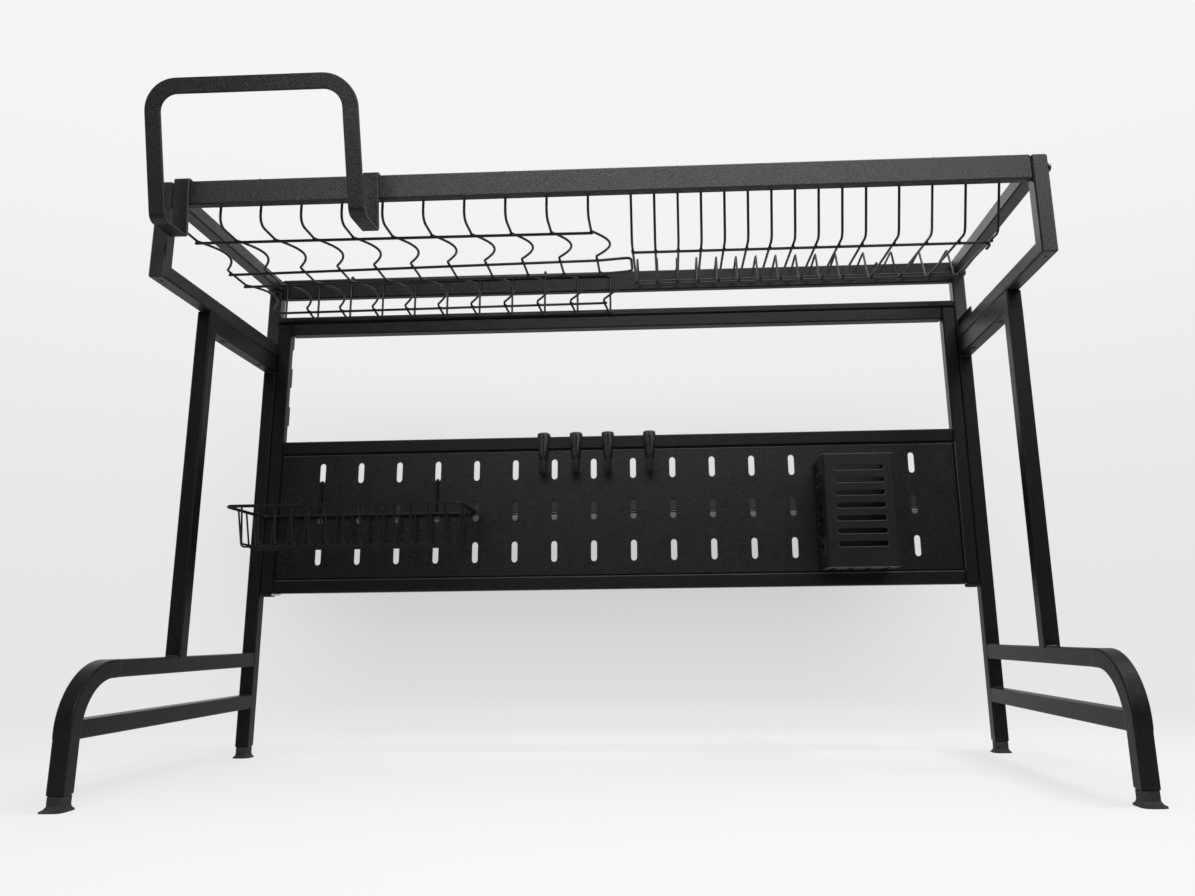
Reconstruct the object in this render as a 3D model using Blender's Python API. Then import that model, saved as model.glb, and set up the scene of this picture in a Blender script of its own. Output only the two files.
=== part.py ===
"""Over-sink dish rack: two tube leg frames stand astride the sink and carry a
shelf frame with a bowl rack, a plate rack and a board holder, and a slotted
panel with hooks, a wire basket and a cutlery box.

Metres, +Z up. The front faces -Y and +X is to the right. The pieces are laid
out from the front face of the front bar (y = 0), the middle of the rack
(x = 0) and the floor (z = 0); one empty then moves them all, so that the
origin lies under the middle of the whole part.
"""
import math

import bpy
import bmesh
from mathutils import Vector

# Whole rack
WIDTH = 0.850                  # over the two side frames
DEPTH = 0.2825                 # front bar's face to the back of the back posts
SEAT = 0.0003                  # clearance between pieces that touch
OVERRUN = 0.004                # how far a cutter runs past what it cuts
WELD_SINK = 0.003              # how far a welded tube's end runs into its neighbour
WELD_STEP = 0.00015            # how much narrower a butting tube is, each side
ARC_REACH_SHARE = 0.49         # most of a run that one rounded corner may take

# Frame tubes
TUBE = 0.015                   # square tube, side
TUBE_ROUNDING = 0.0014
ROUNDING_STEPS = 1
LEG_ROUNDING_STEPS = 2

# Side frames and the two long bars at the top
SIDE_HEIGHT = 0.098
BAR_HEIGHT = 0.025
BAR_DEPTH = 0.010
DRAIN_HOLE = 0.0032            # diameter, under the side frame's front corner
DRAIN_INSET = 0.012
PILOT_HOLE = 0.0034            # diameter, in the face of the left front post
PILOT_DROP = 0.012             # below the post's top
HOLE_DEPTH = 0.003

# Leg frames
LEG_TOP = 0.4645
LEG_BAR_HEIGHT = 0.020
FRONT_LEG_SETBACK = 0.098      # front leg's face behind the front bar's face
FOOT_RAIL_TOP = 0.1134
FOOT_REACH = 0.0625            # front foot's face in front of the front bar's face
FOOT_BEND = 0.0475             # radius on the tube's centre line
FOOT_BEND_STEPS = 8
BRACE_LOW = 0.0527
TUBE_END = 0.0116              # the tubes end this high above the floor
PLUG_BORE = 0.0120
PLUG_DEPTH = 0.017

# Rubber feet
FOOT_CAP = 0.0138
SKIRT_PROUD = 0.0030           # skirt past the cap, all round
SKIRT_TOE = 0.0035             # more of it to the front
SKIRT_HEIGHT = 0.0042
SKIRT_LIP = 0.0010
FOOT_CORNER = 0.0022
SKIRT_FLARE_SHARE = 0.4        # how far out the skirt is at half its height

# Slotted panel under the shelf
PANEL_LOW = 0.1795
PANEL_TOP = 0.506              # top of the rails
CAP_STRIP = 0.0077
TOP_BAR_HEIGHT = 0.0150
MID_BAR_TOP = 0.3572
LOW_BAR_HEIGHT = 0.0148
BOARD_SHEET = 0.0015
BOARD_SETBACK = 0.0004         # board's face behind the rails' face
BOARD_FLANGE = 0.010
SLOT_COLUMNS = 16
SLOT_ROWS = 3
SLOT_MARGIN = 0.05015          # outer columns from the board's ends
SLOT_ROW_PITCH = 0.0477
SLOT_DROP = 0.0237             # top row's centre below the board's top edge
SLOT_WIDTH = 0.0068
SLOT_HEIGHT = 0.024
SLOT_QUARTER_STEPS = 2
CROSSBAR_HEIGHT = 0.025
CROSSBAR_SHOW = 0.0090         # how much of the middle slots it leaves open
NOTCHES = 3
NOTCH_PITCH = 0.048
NOTCH_HEIGHT = 0.025
NOTCH_DROP = 0.030             # top notch's top edge below the rail's top
NOTCH_DEPTH = 0.005
NOTCH_WIDTH = 0.004
END_CAP = 0.003
END_CAP_INSET = 0.0012
END_CAP_EDGE_SHARE = 0.6       # height where the cap's edge is widest
END_PLUG = 0.010
BRACKET_LENGTH = 0.050
BRACKET_HEIGHT = 0.008
BRACKET_WIDTH = 0.012
BRACKET_SHEET = 0.0015

# Bolts
BOLT_HEAD = 0.0090             # diameter
BOLT_HEAD_HEIGHT = 0.0028
BOLT_SHANK = 0.0044
BOLT_BORE = 0.0052
BOLT_GRIP = 0.008              # how far a bolt runs into the second tube
BOLT_SIDES = 8
BOLT_TOP_SHARE = 0.72          # radius of the head's flat top
BOLT_EDGE_SHARE = 0.90         # radius where the head turns down
BOLT_EDGE_RISE_SHARE = 0.72    # height of that turn
SOCKET = 0.0040
SOCKET_SIDES = 6
SOCKET_DEPTH = 0.0016
LEG_BOLT_INSET = 0.030         # from the faces of front leg and back post

# Wires of the two racks
WIRE = 0.0026
RAIL_WIRE = 0.0030
HEAVY_WIRE = 0.0034
WIRE_SIDES = 5
WIRE_BITE = 0.0005             # how deep crossing wires are welded together
RIM_DROP = 0.012               # rim wires below the bars' top
HOOK_LAP = 0.0070              # how far a rack's hooks reach over a bar
HOOK_BEND = 0.0030
RACK_SIDE_CLEARANCE = 0.0028   # bowl rack's first wire to the side frame

# Bowl rack: places along its depth are shares of the span between its uprights
BOWL_WIRES = 11
BOWL_END = 0.0072              # last wire, left of the middle
BOWL_HOOKED = (2, 8)           # counted from the left, from 0
BOWL_FLOOR = 0.0430            # its first floor wire below the bars' top
BOWL_BEND = 0.012
BOWL_A_SHARE = 0.145
BOWL_B_SHARE = 0.448
BOWL_C_SHARE = 0.597
BOWL_D_SHARE = 0.950
BOWL_DIP_AT_B = 0.0015
BOWL_DIP_AT_D = 0.0020
BOWL_DIP_AT_BACK = 0.0145
BOWL_BACK_BEND = 0.0035
BULGE_FRONT = 0.0165
BULGE_BACK = 0.0185
BULGE_POINTS = 6
BULGE_SKEW_SHARE = 0.86
LOOP_OVERHANG = 0.0365         # the right end loop past the last wire
LOOP_RISE = 0.004
LOOP_BEND = 0.008

# Plate rack
PLATE_LEFT = 0.0340            # first wire, right of the middle
PLATE_END = 0.0258             # last wire to the right side frame
PLATE_CLOSE_WIRES = 11
PLATE_WIDE_WIRES = 4
PLATE_WIDE_SHARE = 1.391       # a wide gap over a close one
PLATE_HOOKED = (2, 12)
PLATE_BOTTOM = 0.064           # front bend below the bars' top
PLATE_LEAN = 0.0185            # how far back the front uprights lean
PLATE_FRONT_BEND = 0.007
PLATE_FRONT_RAIL_SHARE = 0.150
PLATE_BACK_RAIL_SHARE = 0.575
PLATE_REAR_SHARE = 0.640
PLATE_RISE = 0.0090            # bottom's rise from front to rear
SEPARATOR_SLOPE_SHARE = 0.075
SEPARATOR_TOP = 0.0145         # its top below the bars' top
SEPARATOR_BEND = 0.0045
SEPARATOR_FALL = 0.0050
PLATE_RAIL_CORNER = 0.008

# Board holder: one bent strap
STRAP = 0.015
STRAP_SHEET = 0.0025
HOLDER_WIDTH = 0.200
HOLDER_INSET = 0.0014          # from the left side frame
HOLDER_TOP = 0.0720            # over the top of the bars
HOLDER_CORNER = 0.0320         # outer radius
HOLDER_CORNER_STEPS = 6
HOLDER_TAIL = 0.008
HOLDER_BEND = 0.0022           # inner radius of the bends over the bar
TROUGH_LOW = 0.0605            # its underside below the bars' top
TROUGH_DEPTH = 0.0360
TROUGH_FRONT_BEND = 0.0270
TROUGH_BACK_BEND = 0.0060
TROUGH_BEND_STEPS = 5
HOLDER_LEAN = math.radians(12.5)

# Wire basket
BASKET_LENGTH = 0.254
BASKET_DEPTH = 0.092
BASKET_HEIGHT = 0.0395
BASKET_TAPER = 0.0085
BASKET_CORNER = 0.008
BASKET_RIM_WIRE = 0.0036
BASKET_WIRE = 0.0022
FINE_WIRE_SIDES = 4
BASKET_CROSS_WIRES = 13
BASKET_END_GAP = 0.0166        # outer cross wires from the rim's ends
BASKET_LONG_WIRES = 3
BASKET_SIDE_GAP = 0.0260       # outer long wires from the rim's sides
BASKET_BEND = 0.004
BASKET_DROP = 0.0380           # rim below the slots that it hangs from
BASKET_SHIFT = -0.0096         # basket's middle from the middle of its hooks
BASKET_COLUMNS = (0, 3)
BASKET_HOOK_WIRE = 0.0034
BASKET_HOOK_TAIL = 0.009
BASKET_HOOK_BEND = 0.0026

# Cutlery box
BOX_WIDTH = 0.078
BOX_DEPTH = 0.064
BOX_HEIGHT = 0.122
BOX_WALL = 0.0016
BOX_CORNER = 0.0030
BOX_CORNER_STEPS = 2
BOX_TOP_OVER_SLOT = 0.0118     # its top edge over the foot of the top slots
BOX_SHIFT = -0.0045
BOX_COLUMNS = (13, 14)
BOX_SLOTS = 7
BOX_SLOT_HEIGHT = 0.0062
BOX_SLOT_DROP = 0.0150         # top slot below the box's top edge
BOX_SLOT_RISE = 0.0242         # lowest slot above its underside
BOX_SLOT_SIDE = 0.0120         # front slots from the box's sides
BOX_SLOT_END = 0.0150          # side slots from its front and back
BOX_DRAINS = 4
BOX_DRAIN_END = 0.0120
BOX_DRAIN_WIDTH = 0.005
TONGUE_WIDTH = 0.0044
TONGUE_SHEET = 0.0022
TONGUE_TAIL = 0.0100

# Hooks on the middle bar
HOOK_PLACE_SHARES = (-0.2079, -0.1111, -0.0160, 0.1080)
HOOK_WIDTH = 0.0150
HOOK_CROWN = 0.0045            # crown's thickness over the bar
HOOK_CHEEK = 0.0048            # front cheek's thickness
HOOK_BACK_LIP = 0.0080
HOOK_BACK_SHEET = 0.0024
HOOK_BODY_DROP = 0.0240        # fluted body below the bar's top
HOOK_STEM = 0.0076             # stem's width and thickness
HOOK_DROP = 0.0480             # lowest point below the bar's top
HOOK_REACH = 0.0160            # crook's reach in front of the stem
HOOK_TIP_RISE = 0.0110
HOOK_BEND_STEPS = 3
HOOK_SIDES = 6
HOOK_TOP_EDGE_SHARE = 0.35     # of the crown: how deep its rounded edge is
HOOK_WIDTH_SHARES = (0.60, 0.94, 1.0, 0.95, 0.86, 0.66, 0.52)
HOOK_THICK_SHARES = (0.45, 0.90, 1.0, 1.1, 1.6, 2.0, 1.7)
HOOK_FLUTE_SHARES = (0, 0, 0.5, 1.0, 1.2, 0.8, 0)
SADDLE_WIDTH_SHARE = 0.9
SADDLE_RISE_SHARE = 0.8
STEM_START_SHARE = 0.6
FLUTES = 3
FLUTE_DEPTH = 0.0012
FLUTE_POINTS = 10
FLUTE_ROUNDNESS = 0.6

# Places worked out from the sizes above
SIDE_LOW = LEG_TOP + SEAT
RACK_TOP = SIDE_LOW + SIDE_HEIGHT
IN_X = WIDTH / 2 - TUBE
POST_X = WIDTH / 2 - TUBE / 2
BACK_Y = DEPTH - TUBE
RAIL_IN_X = IN_X - SEAT - TUBE
SPAN_X = RAIL_IN_X - SEAT
BAR_Z = RACK_TOP - BAR_HEIGHT / 2
LOW_BAR_TOP = PANEL_LOW + LOW_BAR_HEIGHT
MID_BAR_LOW = MID_BAR_TOP - TUBE
BOARD_LOW = LOW_BAR_TOP + SEAT
BOARD_TOP = MID_BAR_LOW - SEAT
BOARD_Y = BACK_Y + BOARD_SETBACK
BOARD_BACK = BOARD_Y + BOARD_SHEET
TOP_ROW_Z = BOARD_TOP - SLOT_DROP
TOP_SLOT_FOOT = TOP_ROW_Z - SLOT_HEIGHT / 2
SLOT_FOOT_SLOPE = math.tan(math.pi / 4 / SLOT_QUARTER_STEPS)
TONGUE_FOOT = TOP_SLOT_FOOT + SEAT + TONGUE_WIDTH / 2 * SLOT_FOOT_SLOPE
FIRST_COLUMN = -SPAN_X + SLOT_MARGIN
SLOT_PITCH = -2 * FIRST_COLUMN / (SLOT_COLUMNS - 1)
WIRE_R = WIRE / 2
RACK_FRONT = BAR_DEPTH + STRAP_SHEET + 2 * SEAT + WIRE_R
RACK_BACK = BACK_Y - 2 * SEAT - WIRE_R
RACK_SPAN = RACK_BACK - RACK_FRONT
RIM_Z = RACK_TOP - RIM_DROP
HOOK_Z = RACK_TOP + SEAT + WIRE_R
RAIL_DROP = (WIRE + RAIL_WIRE) / 2 + SEAT
BOWL_START = -IN_X + RACK_SIDE_CLEARANCE
BOWL_PITCH = (-BOWL_END - BOWL_START) / (BOWL_WIRES - 1)
PLATE_GAPS = PLATE_CLOSE_WIRES - 1 + PLATE_WIDE_WIRES * PLATE_WIDE_SHARE
PLATE_PITCH = (IN_X - PLATE_END - PLATE_LEFT) / PLATE_GAPS
FOOT_HALF = FOOT_CAP / 2 + SKIRT_PROUD
FRONT_FOOT_Y = -FOOT_REACH + TUBE / 2
FRONT_END = FRONT_FOOT_Y - FOOT_HALF - SKIRT_TOE
BACK_END = max(DEPTH - TUBE / 2 + FOOT_HALF, DEPTH + SEAT + HOOK_BACK_SHEET)

# Surfaces
SMOOTH_ANGLE = math.radians(38)
WIRE_SMOOTH_ANGLE = math.radians(80)   # between the faces of a wire with few sides
BEVEL_ANGLE = math.radians(40)
BLACK = (0.012, 0.012, 0.013)
SOFT_BLACK = (0.018, 0.018, 0.018)
STEEL = (0.30, 0.30, 0.30)
PAINTED = (BLACK, 0.45, 0.0)   # colour, roughness, metallic
WIRED = (BLACK, 0.40, 0.0)
RUBBER = (SOFT_BLACK, 0.80, 0.0)
MOULDED = (SOFT_BLACK, 0.55, 0.0)
BRIGHT = (STEEL, 0.35, 1.0)


def clear_scene():
    for item in list(bpy.data.objects):
        bpy.data.objects.remove(item, do_unlink=True)


def make_origin():
    """The empty that carries the whole rack and centres it over the origin."""
    empty = bpy.data.objects.new("rack_place", None)
    empty.location = (0, -(FRONT_END + BACK_END) / 2, 0)
    bpy.context.collection.objects.link(empty)
    return empty


def finish_of(name, colour, roughness, metallic):
    """A Principled material for one piece."""
    material = bpy.data.materials.new(name + "_finish")
    material.use_nodes = True
    shader = material.node_tree.nodes["Principled BSDF"]
    shader.inputs["Base Color"].default_value = (*colour, 1)
    shader.inputs["Roughness"].default_value = roughness
    shader.inputs["Metallic"].default_value = metallic
    return material


def add(name, bm, finish=None):
    """Make an object from a bmesh; one without a finish is a guide or a cutter."""
    bmesh.ops.recalc_face_normals(bm, faces=bm.faces[:])
    mesh = bpy.data.meshes.new(name)
    bm.to_mesh(mesh)
    bm.free()
    mesh.shade_smooth()
    mesh.set_sharp_from_angle(angle=WIRE_SMOOTH_ANGLE if finish == WIRED else SMOOTH_ANGLE)
    item = bpy.data.objects.new(name, mesh)
    bpy.context.collection.objects.link(item)
    item.parent = place
    if finish is None:
        item.hide_render = True
        item.display_type = "WIRE"
    else:
        mesh.materials.append(finish_of(name, *finish))
    return item


def box_mesh(low, high):
    bm = bmesh.new()
    bmesh.ops.create_cube(bm, size=1)
    for vert in bm.verts:
        for axis in range(3):
            middle = (low[axis] + high[axis]) / 2
            vert.co[axis] = middle + vert.co[axis] * (high[axis] - low[axis])
    return bm


def round_edges(item, steps=ROUNDING_STEPS):
    bevel = item.modifiers.new("rounding", "BEVEL")
    bevel.width = TUBE_ROUNDING
    bevel.segments = steps
    bevel.limit_method = "ANGLE"
    bevel.angle_limit = BEVEL_ANGLE
    bevel.harden_normals = True
    return item


def bar(name, low, high, steps=ROUNDING_STEPS):
    """A straight tube between two corners, its edges rounded."""
    return round_edges(add(name, box_mesh(low, high), PAINTED), steps)


def combine(item, other, operation):
    step = item.modifiers.new(other.name, "BOOLEAN")
    step.operation = operation
    step.object = other
    return item


def cut(item, *cutters):
    for cutter in cutters:
        combine(item, cutter, "DIFFERENCE")
    return item


def weld(item, *others):
    for other in others:
        combine(item, other, "UNION")
    return item


def plate_mesh(loops, depth):
    """A flat plate from an outline and its holes, thickened by a vector."""
    bm = bmesh.new()
    for loop in loops:
        verts = [bm.verts.new(point) for point in loop]
        for first, second in zip(verts, verts[1:] + verts[:1]):
            bm.edges.new((first, second))
    bmesh.ops.triangle_fill(bm, edges=bm.edges[:], use_beauty=True)
    grown = bmesh.ops.extrude_face_region(bm, geom=bm.faces[:])["geom"]
    moved = [part for part in grown if isinstance(part, bmesh.types.BMVert)]
    bmesh.ops.translate(bm, verts=moved, vec=depth)
    return bm


def disc_mesh(centre, radius, along, sides):
    """A round rod from its first end's centre, along a vector."""
    bm = bmesh.new()
    side = Vector(along).orthogonal().normalized()
    other = Vector(along).cross(side).normalized()
    turns = [math.tau * (count + 0.5) / sides for count in range(sides)]
    ring = [bm.verts.new(Vector(centre) + side * (radius * math.cos(turn))
                         + other * (radius * math.sin(turn))) for turn in turns]
    face = bm.faces.new(ring)
    grown = bmesh.ops.extrude_face_region(bm, geom=[face])["geom"]
    moved = [part for part in grown if isinstance(part, bmesh.types.BMVert)]
    bmesh.ops.translate(bm, verts=moved, vec=Vector(along))
    return bm


def arc_at(before, corner, after, radius, steps):
    """Points of the arc that rounds a corner, its radius limited by the runs."""
    back = before - corner
    on = after - corner
    half = back.angle(on) / 2
    longest = min(back.length, on.length) * ARC_REACH_SHARE
    reach = min(radius / math.tan(half), longest)
    radius = reach * math.tan(half)
    centre = corner + (back.normalized() + on.normalized()).normalized() * (radius / math.sin(half))
    first = (corner + back.normalized() * reach - centre).normalized()
    last = (corner + on.normalized() * reach - centre).normalized()
    return [centre + first.slerp(last, count / steps) * radius for count in range(steps + 1)]


def rounded(corners, steps=3, closed=False):
    """A path from corners (point, radius); a radius of zero keeps the corner."""
    points = [(Vector(point), radius) for point, radius in corners]
    path = []
    for count, (point, radius) in enumerate(points):
        at_end = not closed and count in (0, len(points) - 1)
        if at_end or radius == 0:
            path.append(point)
            continue
        before = points[count - 1][0]
        after = points[(count + 1) % len(points)][0]
        path += arc_at(before, point, after, radius, steps)
    return path


def directions(path, closed):
    """The way that a path runs at each of its points."""
    ways = []
    for count, point in enumerate(path):
        before = path[count - 1] if count or closed else point
        after = path[(count + 1) % len(path)] if count < len(path) - 1 or closed else point
        ways.append(((after - point).normalized() + (point - before).normalized()).normalized())
    return ways


def skin(bm, rings, closed):
    """Join rings of vertices by faces, with end caps unless they close."""
    pairs = list(zip(rings, rings[1:] + rings[:1])) if closed else list(zip(rings, rings[1:]))
    for first, second in pairs:
        for count in range(len(first)):
            on = (count + 1) % len(first)
            bm.faces.new((first[count], first[on], second[on], second[count]))
    if not closed:
        bm.faces.new(rings[0][::-1])
        bm.faces.new(rings[-1])


def draw_wire(bm, path, diameter, closed=False, sides=WIRE_SIDES):
    """A round wire along a path; each ring is turned on from the last."""
    ways = directions(path, closed)
    normal = ways[0].orthogonal().normalized()
    rings = []
    last = ways[0]
    for point, way in zip(path, ways):
        normal = last.rotation_difference(way) @ normal
        normal = (normal - way * normal.dot(way)).normalized()
        other = way.cross(normal)
        ring = []
        for count in range(sides):
            turn = math.tau * (count + 0.5) / sides
            outward = normal * math.cos(turn) + other * math.sin(turn)
            ring.append(bm.verts.new(point + outward * (diameter / 2)))
        rings.append(ring)
        last = way
    skin(bm, rings, closed)


def wires(paths, diameter, closed=False, sides=WIRE_SIDES):
    bm = bmesh.new()
    for path in paths:
        draw_wire(bm, [Vector(point) for point in path], diameter, closed, sides)
    return bm


def strip_mesh(path, across, thick):
    """A flat strap along a path; across holds half its width at each point."""
    bm = bmesh.new()
    rings = []
    for point, way, half in zip(path, directions(path, False), across):
        rise = way.cross(half).normalized() * (thick / 2)
        corners = (half + rise, half - rise, -half - rise, -half + rise)
        rings.append([bm.verts.new(point + corner) for corner in corners])
    skin(bm, rings, False)
    return bm


def side_mesh(loops, x_low, x_high):
    """A plate whose outlines are given as (y, z), thickened along x."""
    outlines = [[(x_low, y, z) for y, z in loop] for loop in loops]
    return plate_mesh(outlines, (x_high - x_low, 0, 0))


def rectangle(low_a, low_b, high_a, high_b):
    return [(low_a, low_b), (high_a, low_b), (high_a, high_b), (low_a, high_b)]


def bolt(name, at, way, run):
    """A button-head bolt with a hexagon socket; its shank runs the given way."""
    way = Vector(way)
    at = Vector(at) - way * SEAT
    turns = [math.tau * count / BOLT_SIDES for count in range(BOLT_SIDES)]
    side = way.orthogonal().normalized()
    other = way.cross(side)
    outward = [side * math.cos(turn) + other * math.sin(turn) for turn in turns]
    head = BOLT_HEAD / 2
    stations = ((-BOLT_HEAD_HEIGHT, head * BOLT_TOP_SHARE),
                (-BOLT_HEAD_HEIGHT * BOLT_EDGE_RISE_SHARE, head * BOLT_EDGE_SHARE),
                (0, head), (0, BOLT_SHANK / 2), (run, BOLT_SHANK / 2))
    bm = bmesh.new()
    rings = [[bm.verts.new(at + way * along + out * radius) for out in outward]
             for along, radius in stations]
    skin(bm, rings, False)
    item = add(name, bm, BRIGHT)
    socket_at = at - way * (BOLT_HEAD_HEIGHT + OVERRUN)
    socket = disc_mesh(socket_at, SOCKET / 2, way * (OVERRUN + SOCKET_DEPTH), SOCKET_SIDES)
    return cut(item, add(name + "_socket", socket))


def bore(name, at, way, run, diameter=BOLT_BORE, before=OVERRUN):
    """A cutter for a round hole that starts before its face and runs the given way."""
    way = Vector(way)
    start = Vector(at) - way * before
    return add(name, disc_mesh(start, diameter / 2, way * (before + run), BOLT_SIDES))


def frame_bolt_y(end):
    """Front to back place of a frame bolt, in the middle of its long bar."""
    return BAR_DEPTH / 2 if end == "front" else BACK_Y + BAR_DEPTH / 2


def make_side_frame(side, name):
    """An upright rectangle of tube; the long bars are bolted between the two."""
    outer = rectangle(0, SIDE_LOW, DEPTH, RACK_TOP)
    inner = rectangle(TUBE, SIDE_LOW + TUBE, BACK_Y, RACK_TOP - TUBE)
    low, high = sorted((side * IN_X, side * WIDTH / 2))
    frame = round_edges(add("side_frame_" + name, side_mesh([outer, inner], low, high), PAINTED))
    for end in ("front", "back"):
        at = (side * WIDTH / 2, frame_bolt_y(end), BAR_Z)
        cut(frame, bore(f"post_bore_{end}_{name}", at, (-side, 0, 0), TUBE + OVERRUN))
    for count, y in enumerate(leg_bolt_places()):
        at = (side * POST_X, y, SIDE_LOW)
        cut(frame, bore(f"leg_thread_{count}_{name}", at, (0, 0, 1), BOLT_GRIP + 2 * SEAT))
    drain = bore("drain_" + name, (side * POST_X, DRAIN_INSET, SIDE_LOW), (0, 0, 1), HOLE_DEPTH, DRAIN_HOLE)
    cut(frame, drain)
    if side < 0:
        at = (side * POST_X, 0, RACK_TOP - PILOT_DROP)
        cut(frame, bore("pilot_hole", at, (0, 1, 0), HOLE_DEPTH, PILOT_HOLE))
    return frame


def leg_bolt_places():
    return FRONT_LEG_SETBACK + TUBE + LEG_BOLT_INSET, BACK_Y - LEG_BOLT_INSET


def foot_tube_path(side):
    """Centre line of the foot tube: back post, forward, round the bend, down."""
    middle = FOOT_RAIL_TOP - TUBE / 2
    x = side * POST_X
    corners = [((x, BACK_Y + WELD_SINK, middle), 0), ((x, FRONT_FOOT_Y, middle), FOOT_BEND),
               ((x, FRONT_FOOT_Y, TUBE_END), 0)]
    return rounded(corners, FOOT_BEND_STEPS)


def make_leg_frame(side, name):
    """Back post, top bar, front leg, bent foot tube and brace, welded into one."""
    x_low, x_high = sorted((side * IN_X, side * WIDTH / 2))
    thin_low = x_low + WELD_STEP
    thin_high = x_high - WELD_STEP
    low = (x_low, BACK_Y, TUBE_END)
    high = (x_high, DEPTH, LEG_TOP)
    post = bar("leg_frame_" + name, low, high, LEG_ROUNDING_STEPS)
    top = add("leg_top_" + name, box_mesh((thin_low, FRONT_LEG_SETBACK, LEG_TOP - LEG_BAR_HEIGHT),
                                          (thin_high, BACK_Y + WELD_SINK, LEG_TOP - WELD_STEP)))
    low = (x_low, FRONT_LEG_SETBACK + WELD_STEP, FOOT_RAIL_TOP - WELD_SINK)
    high = (x_high, FRONT_LEG_SETBACK + TUBE, LEG_TOP - LEG_BAR_HEIGHT + WELD_SINK)
    leg = add("front_leg_" + name, box_mesh(low, high))
    half = Vector((TUBE / 2 - 2 * WELD_STEP, 0, 0))
    path = foot_tube_path(side)
    foot = add("foot_tube_" + name, strip_mesh(path, [half] * len(path), TUBE))
    brace = add("brace_" + name, box_mesh((thin_low, FRONT_FOOT_Y + TUBE / 2 - WELD_SINK, BRACE_LOW),
                                          (thin_high, BACK_Y + WELD_SINK, BRACE_LOW + TUBE)))
    for tube in (top, leg, foot, brace):
        round_edges(tube, LEG_ROUNDING_STEPS)
    weld(post, top, leg, foot, brace)
    for end, y in (("front", FRONT_FOOT_Y), ("back", DEPTH - TUBE / 2)):
        middle = side * POST_X
        low = (middle - PLUG_BORE / 2, y - PLUG_BORE / 2, TUBE_END - OVERRUN)
        high = (middle + PLUG_BORE / 2, y + PLUG_BORE / 2, TUBE_END + PLUG_DEPTH)
        cut(post, add(f"plug_bore_{end}_{name}", box_mesh(low, high)))
    for count, y in enumerate(leg_bolt_places()):
        at = (side * POST_X, y, LEG_TOP - LEG_BAR_HEIGHT)
        cut(post, bore(f"leg_bore_{count}_{name}", at, (0, 0, 1), LEG_BAR_HEIGHT + OVERRUN))
    return post


def square_ring(bm, x, y, z, half_back, half_front, half_x, corner):
    """A ring of vertices round a rounded rectangle, level at height z."""
    corners = [((-half_x, -half_front), corner), ((half_x, -half_front), corner),
               ((half_x, half_back), corner), ((-half_x, half_back), corner)]
    path = rounded([((px, py, 0), radius) for (px, py), radius in corners], 2, True)
    return [bm.verts.new((x + point.x, y + point.y, z)) for point in path]


def make_foot(name, x, y, toe):
    """A rubber foot: flared skirt, cap under the tube, plug inside it."""
    cap = FOOT_CAP / 2
    plug = PLUG_BORE / 2 - SEAT
    top = TUBE_END - SEAT
    wide = cap + SKIRT_PROUD
    round_wide = FOOT_CORNER + SKIRT_PROUD
    flare = SKIRT_PROUD * SKIRT_FLARE_SHARE
    stations = ((0, wide, toe, round_wide), (SKIRT_LIP, wide, toe, round_wide),
                (SKIRT_HEIGHT / 2, cap + flare, toe * SKIRT_FLARE_SHARE, FOOT_CORNER + flare),
                (SKIRT_HEIGHT, cap, 0, FOOT_CORNER), (top, cap, 0, FOOT_CORNER),
                (top, plug, 0, FOOT_CORNER / 2),
                (TUBE_END + PLUG_DEPTH - 2 * SEAT, plug, 0, FOOT_CORNER / 2))
    bm = bmesh.new()
    rings = [square_ring(bm, x, y, z, half, half + toe_here, half, corner)
             for z, half, toe_here, corner in stations]
    skin(bm, rings, False)
    return add(name, bm, RUBBER)


def make_long_bars():
    """Front and back bars between the side frames, with bores for the bolts."""
    for end, front in (("front", 0), ("back", BACK_Y)):
        low = (-IN_X + SEAT, front, RACK_TOP - BAR_HEIGHT)
        high = (IN_X - SEAT, front + BAR_DEPTH, RACK_TOP)
        item = bar(end + "_top_bar", low, high)
        for side in (-1, 1):
            at = (side * (IN_X - SEAT), frame_bolt_y(end), BAR_Z)
            cut(item, bore(f"{end}_bar_bore_{side + 1}", at, (-side, 0, 0), BOLT_GRIP + 2 * SEAT))


def make_rails():
    """Upright rails of the panel, their lower ends closed by plugs."""
    for side, name in ((-1, "left"), (1, "right")):
        x_low, x_high = sorted((side * RAIL_IN_X, side * (RAIL_IN_X + TUBE)))
        rail = bar("panel_rail_" + name, (x_low, BACK_Y, PANEL_LOW), (x_high, DEPTH, PANEL_TOP))
        middle = side * (RAIL_IN_X + TUBE / 2)
        y = BACK_Y + TUBE / 2
        half = PLUG_BORE / 2
        low = (middle - half, y - half, PANEL_LOW - OVERRUN)
        high = (middle + half, y + half, PANEL_LOW + END_PLUG + 2 * SEAT)
        cut(rail, add("rail_bore_" + name, box_mesh(low, high)))
        if side < 0:
            cut_notches(rail)
        make_end_plug(name, middle, y)


def cut_notches(rail):
    """Hanging notches in the back inner edge of the left rail."""
    x_low = -RAIL_IN_X - NOTCH_WIDTH
    for count in range(NOTCHES):
        top = PANEL_TOP - NOTCH_DROP - NOTCH_PITCH * count
        low = (x_low, DEPTH - NOTCH_DEPTH, top - NOTCH_HEIGHT)
        high = (-RAIL_IN_X + OVERRUN, DEPTH + OVERRUN, top)
        cut(rail, add(f"notch_{count}", box_mesh(low, high)))


def make_end_plug(name, x, y):
    cap = TUBE / 2 - END_CAP_INSET
    plug = PLUG_BORE / 2 - SEAT
    top = PANEL_LOW - SEAT
    stations = ((top - END_CAP, cap - END_CAP_INSET), (top - END_CAP * END_CAP_EDGE_SHARE, cap),
                (top, cap), (top, plug), (PANEL_LOW + END_PLUG, plug))
    bm = bmesh.new()
    rings = [square_ring(bm, x, y, z, half, half, half, TUBE_ROUNDING) for z, half in stations]
    skin(bm, rings, False)
    return add("rail_end_plug_" + name, bm, MOULDED)


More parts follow.
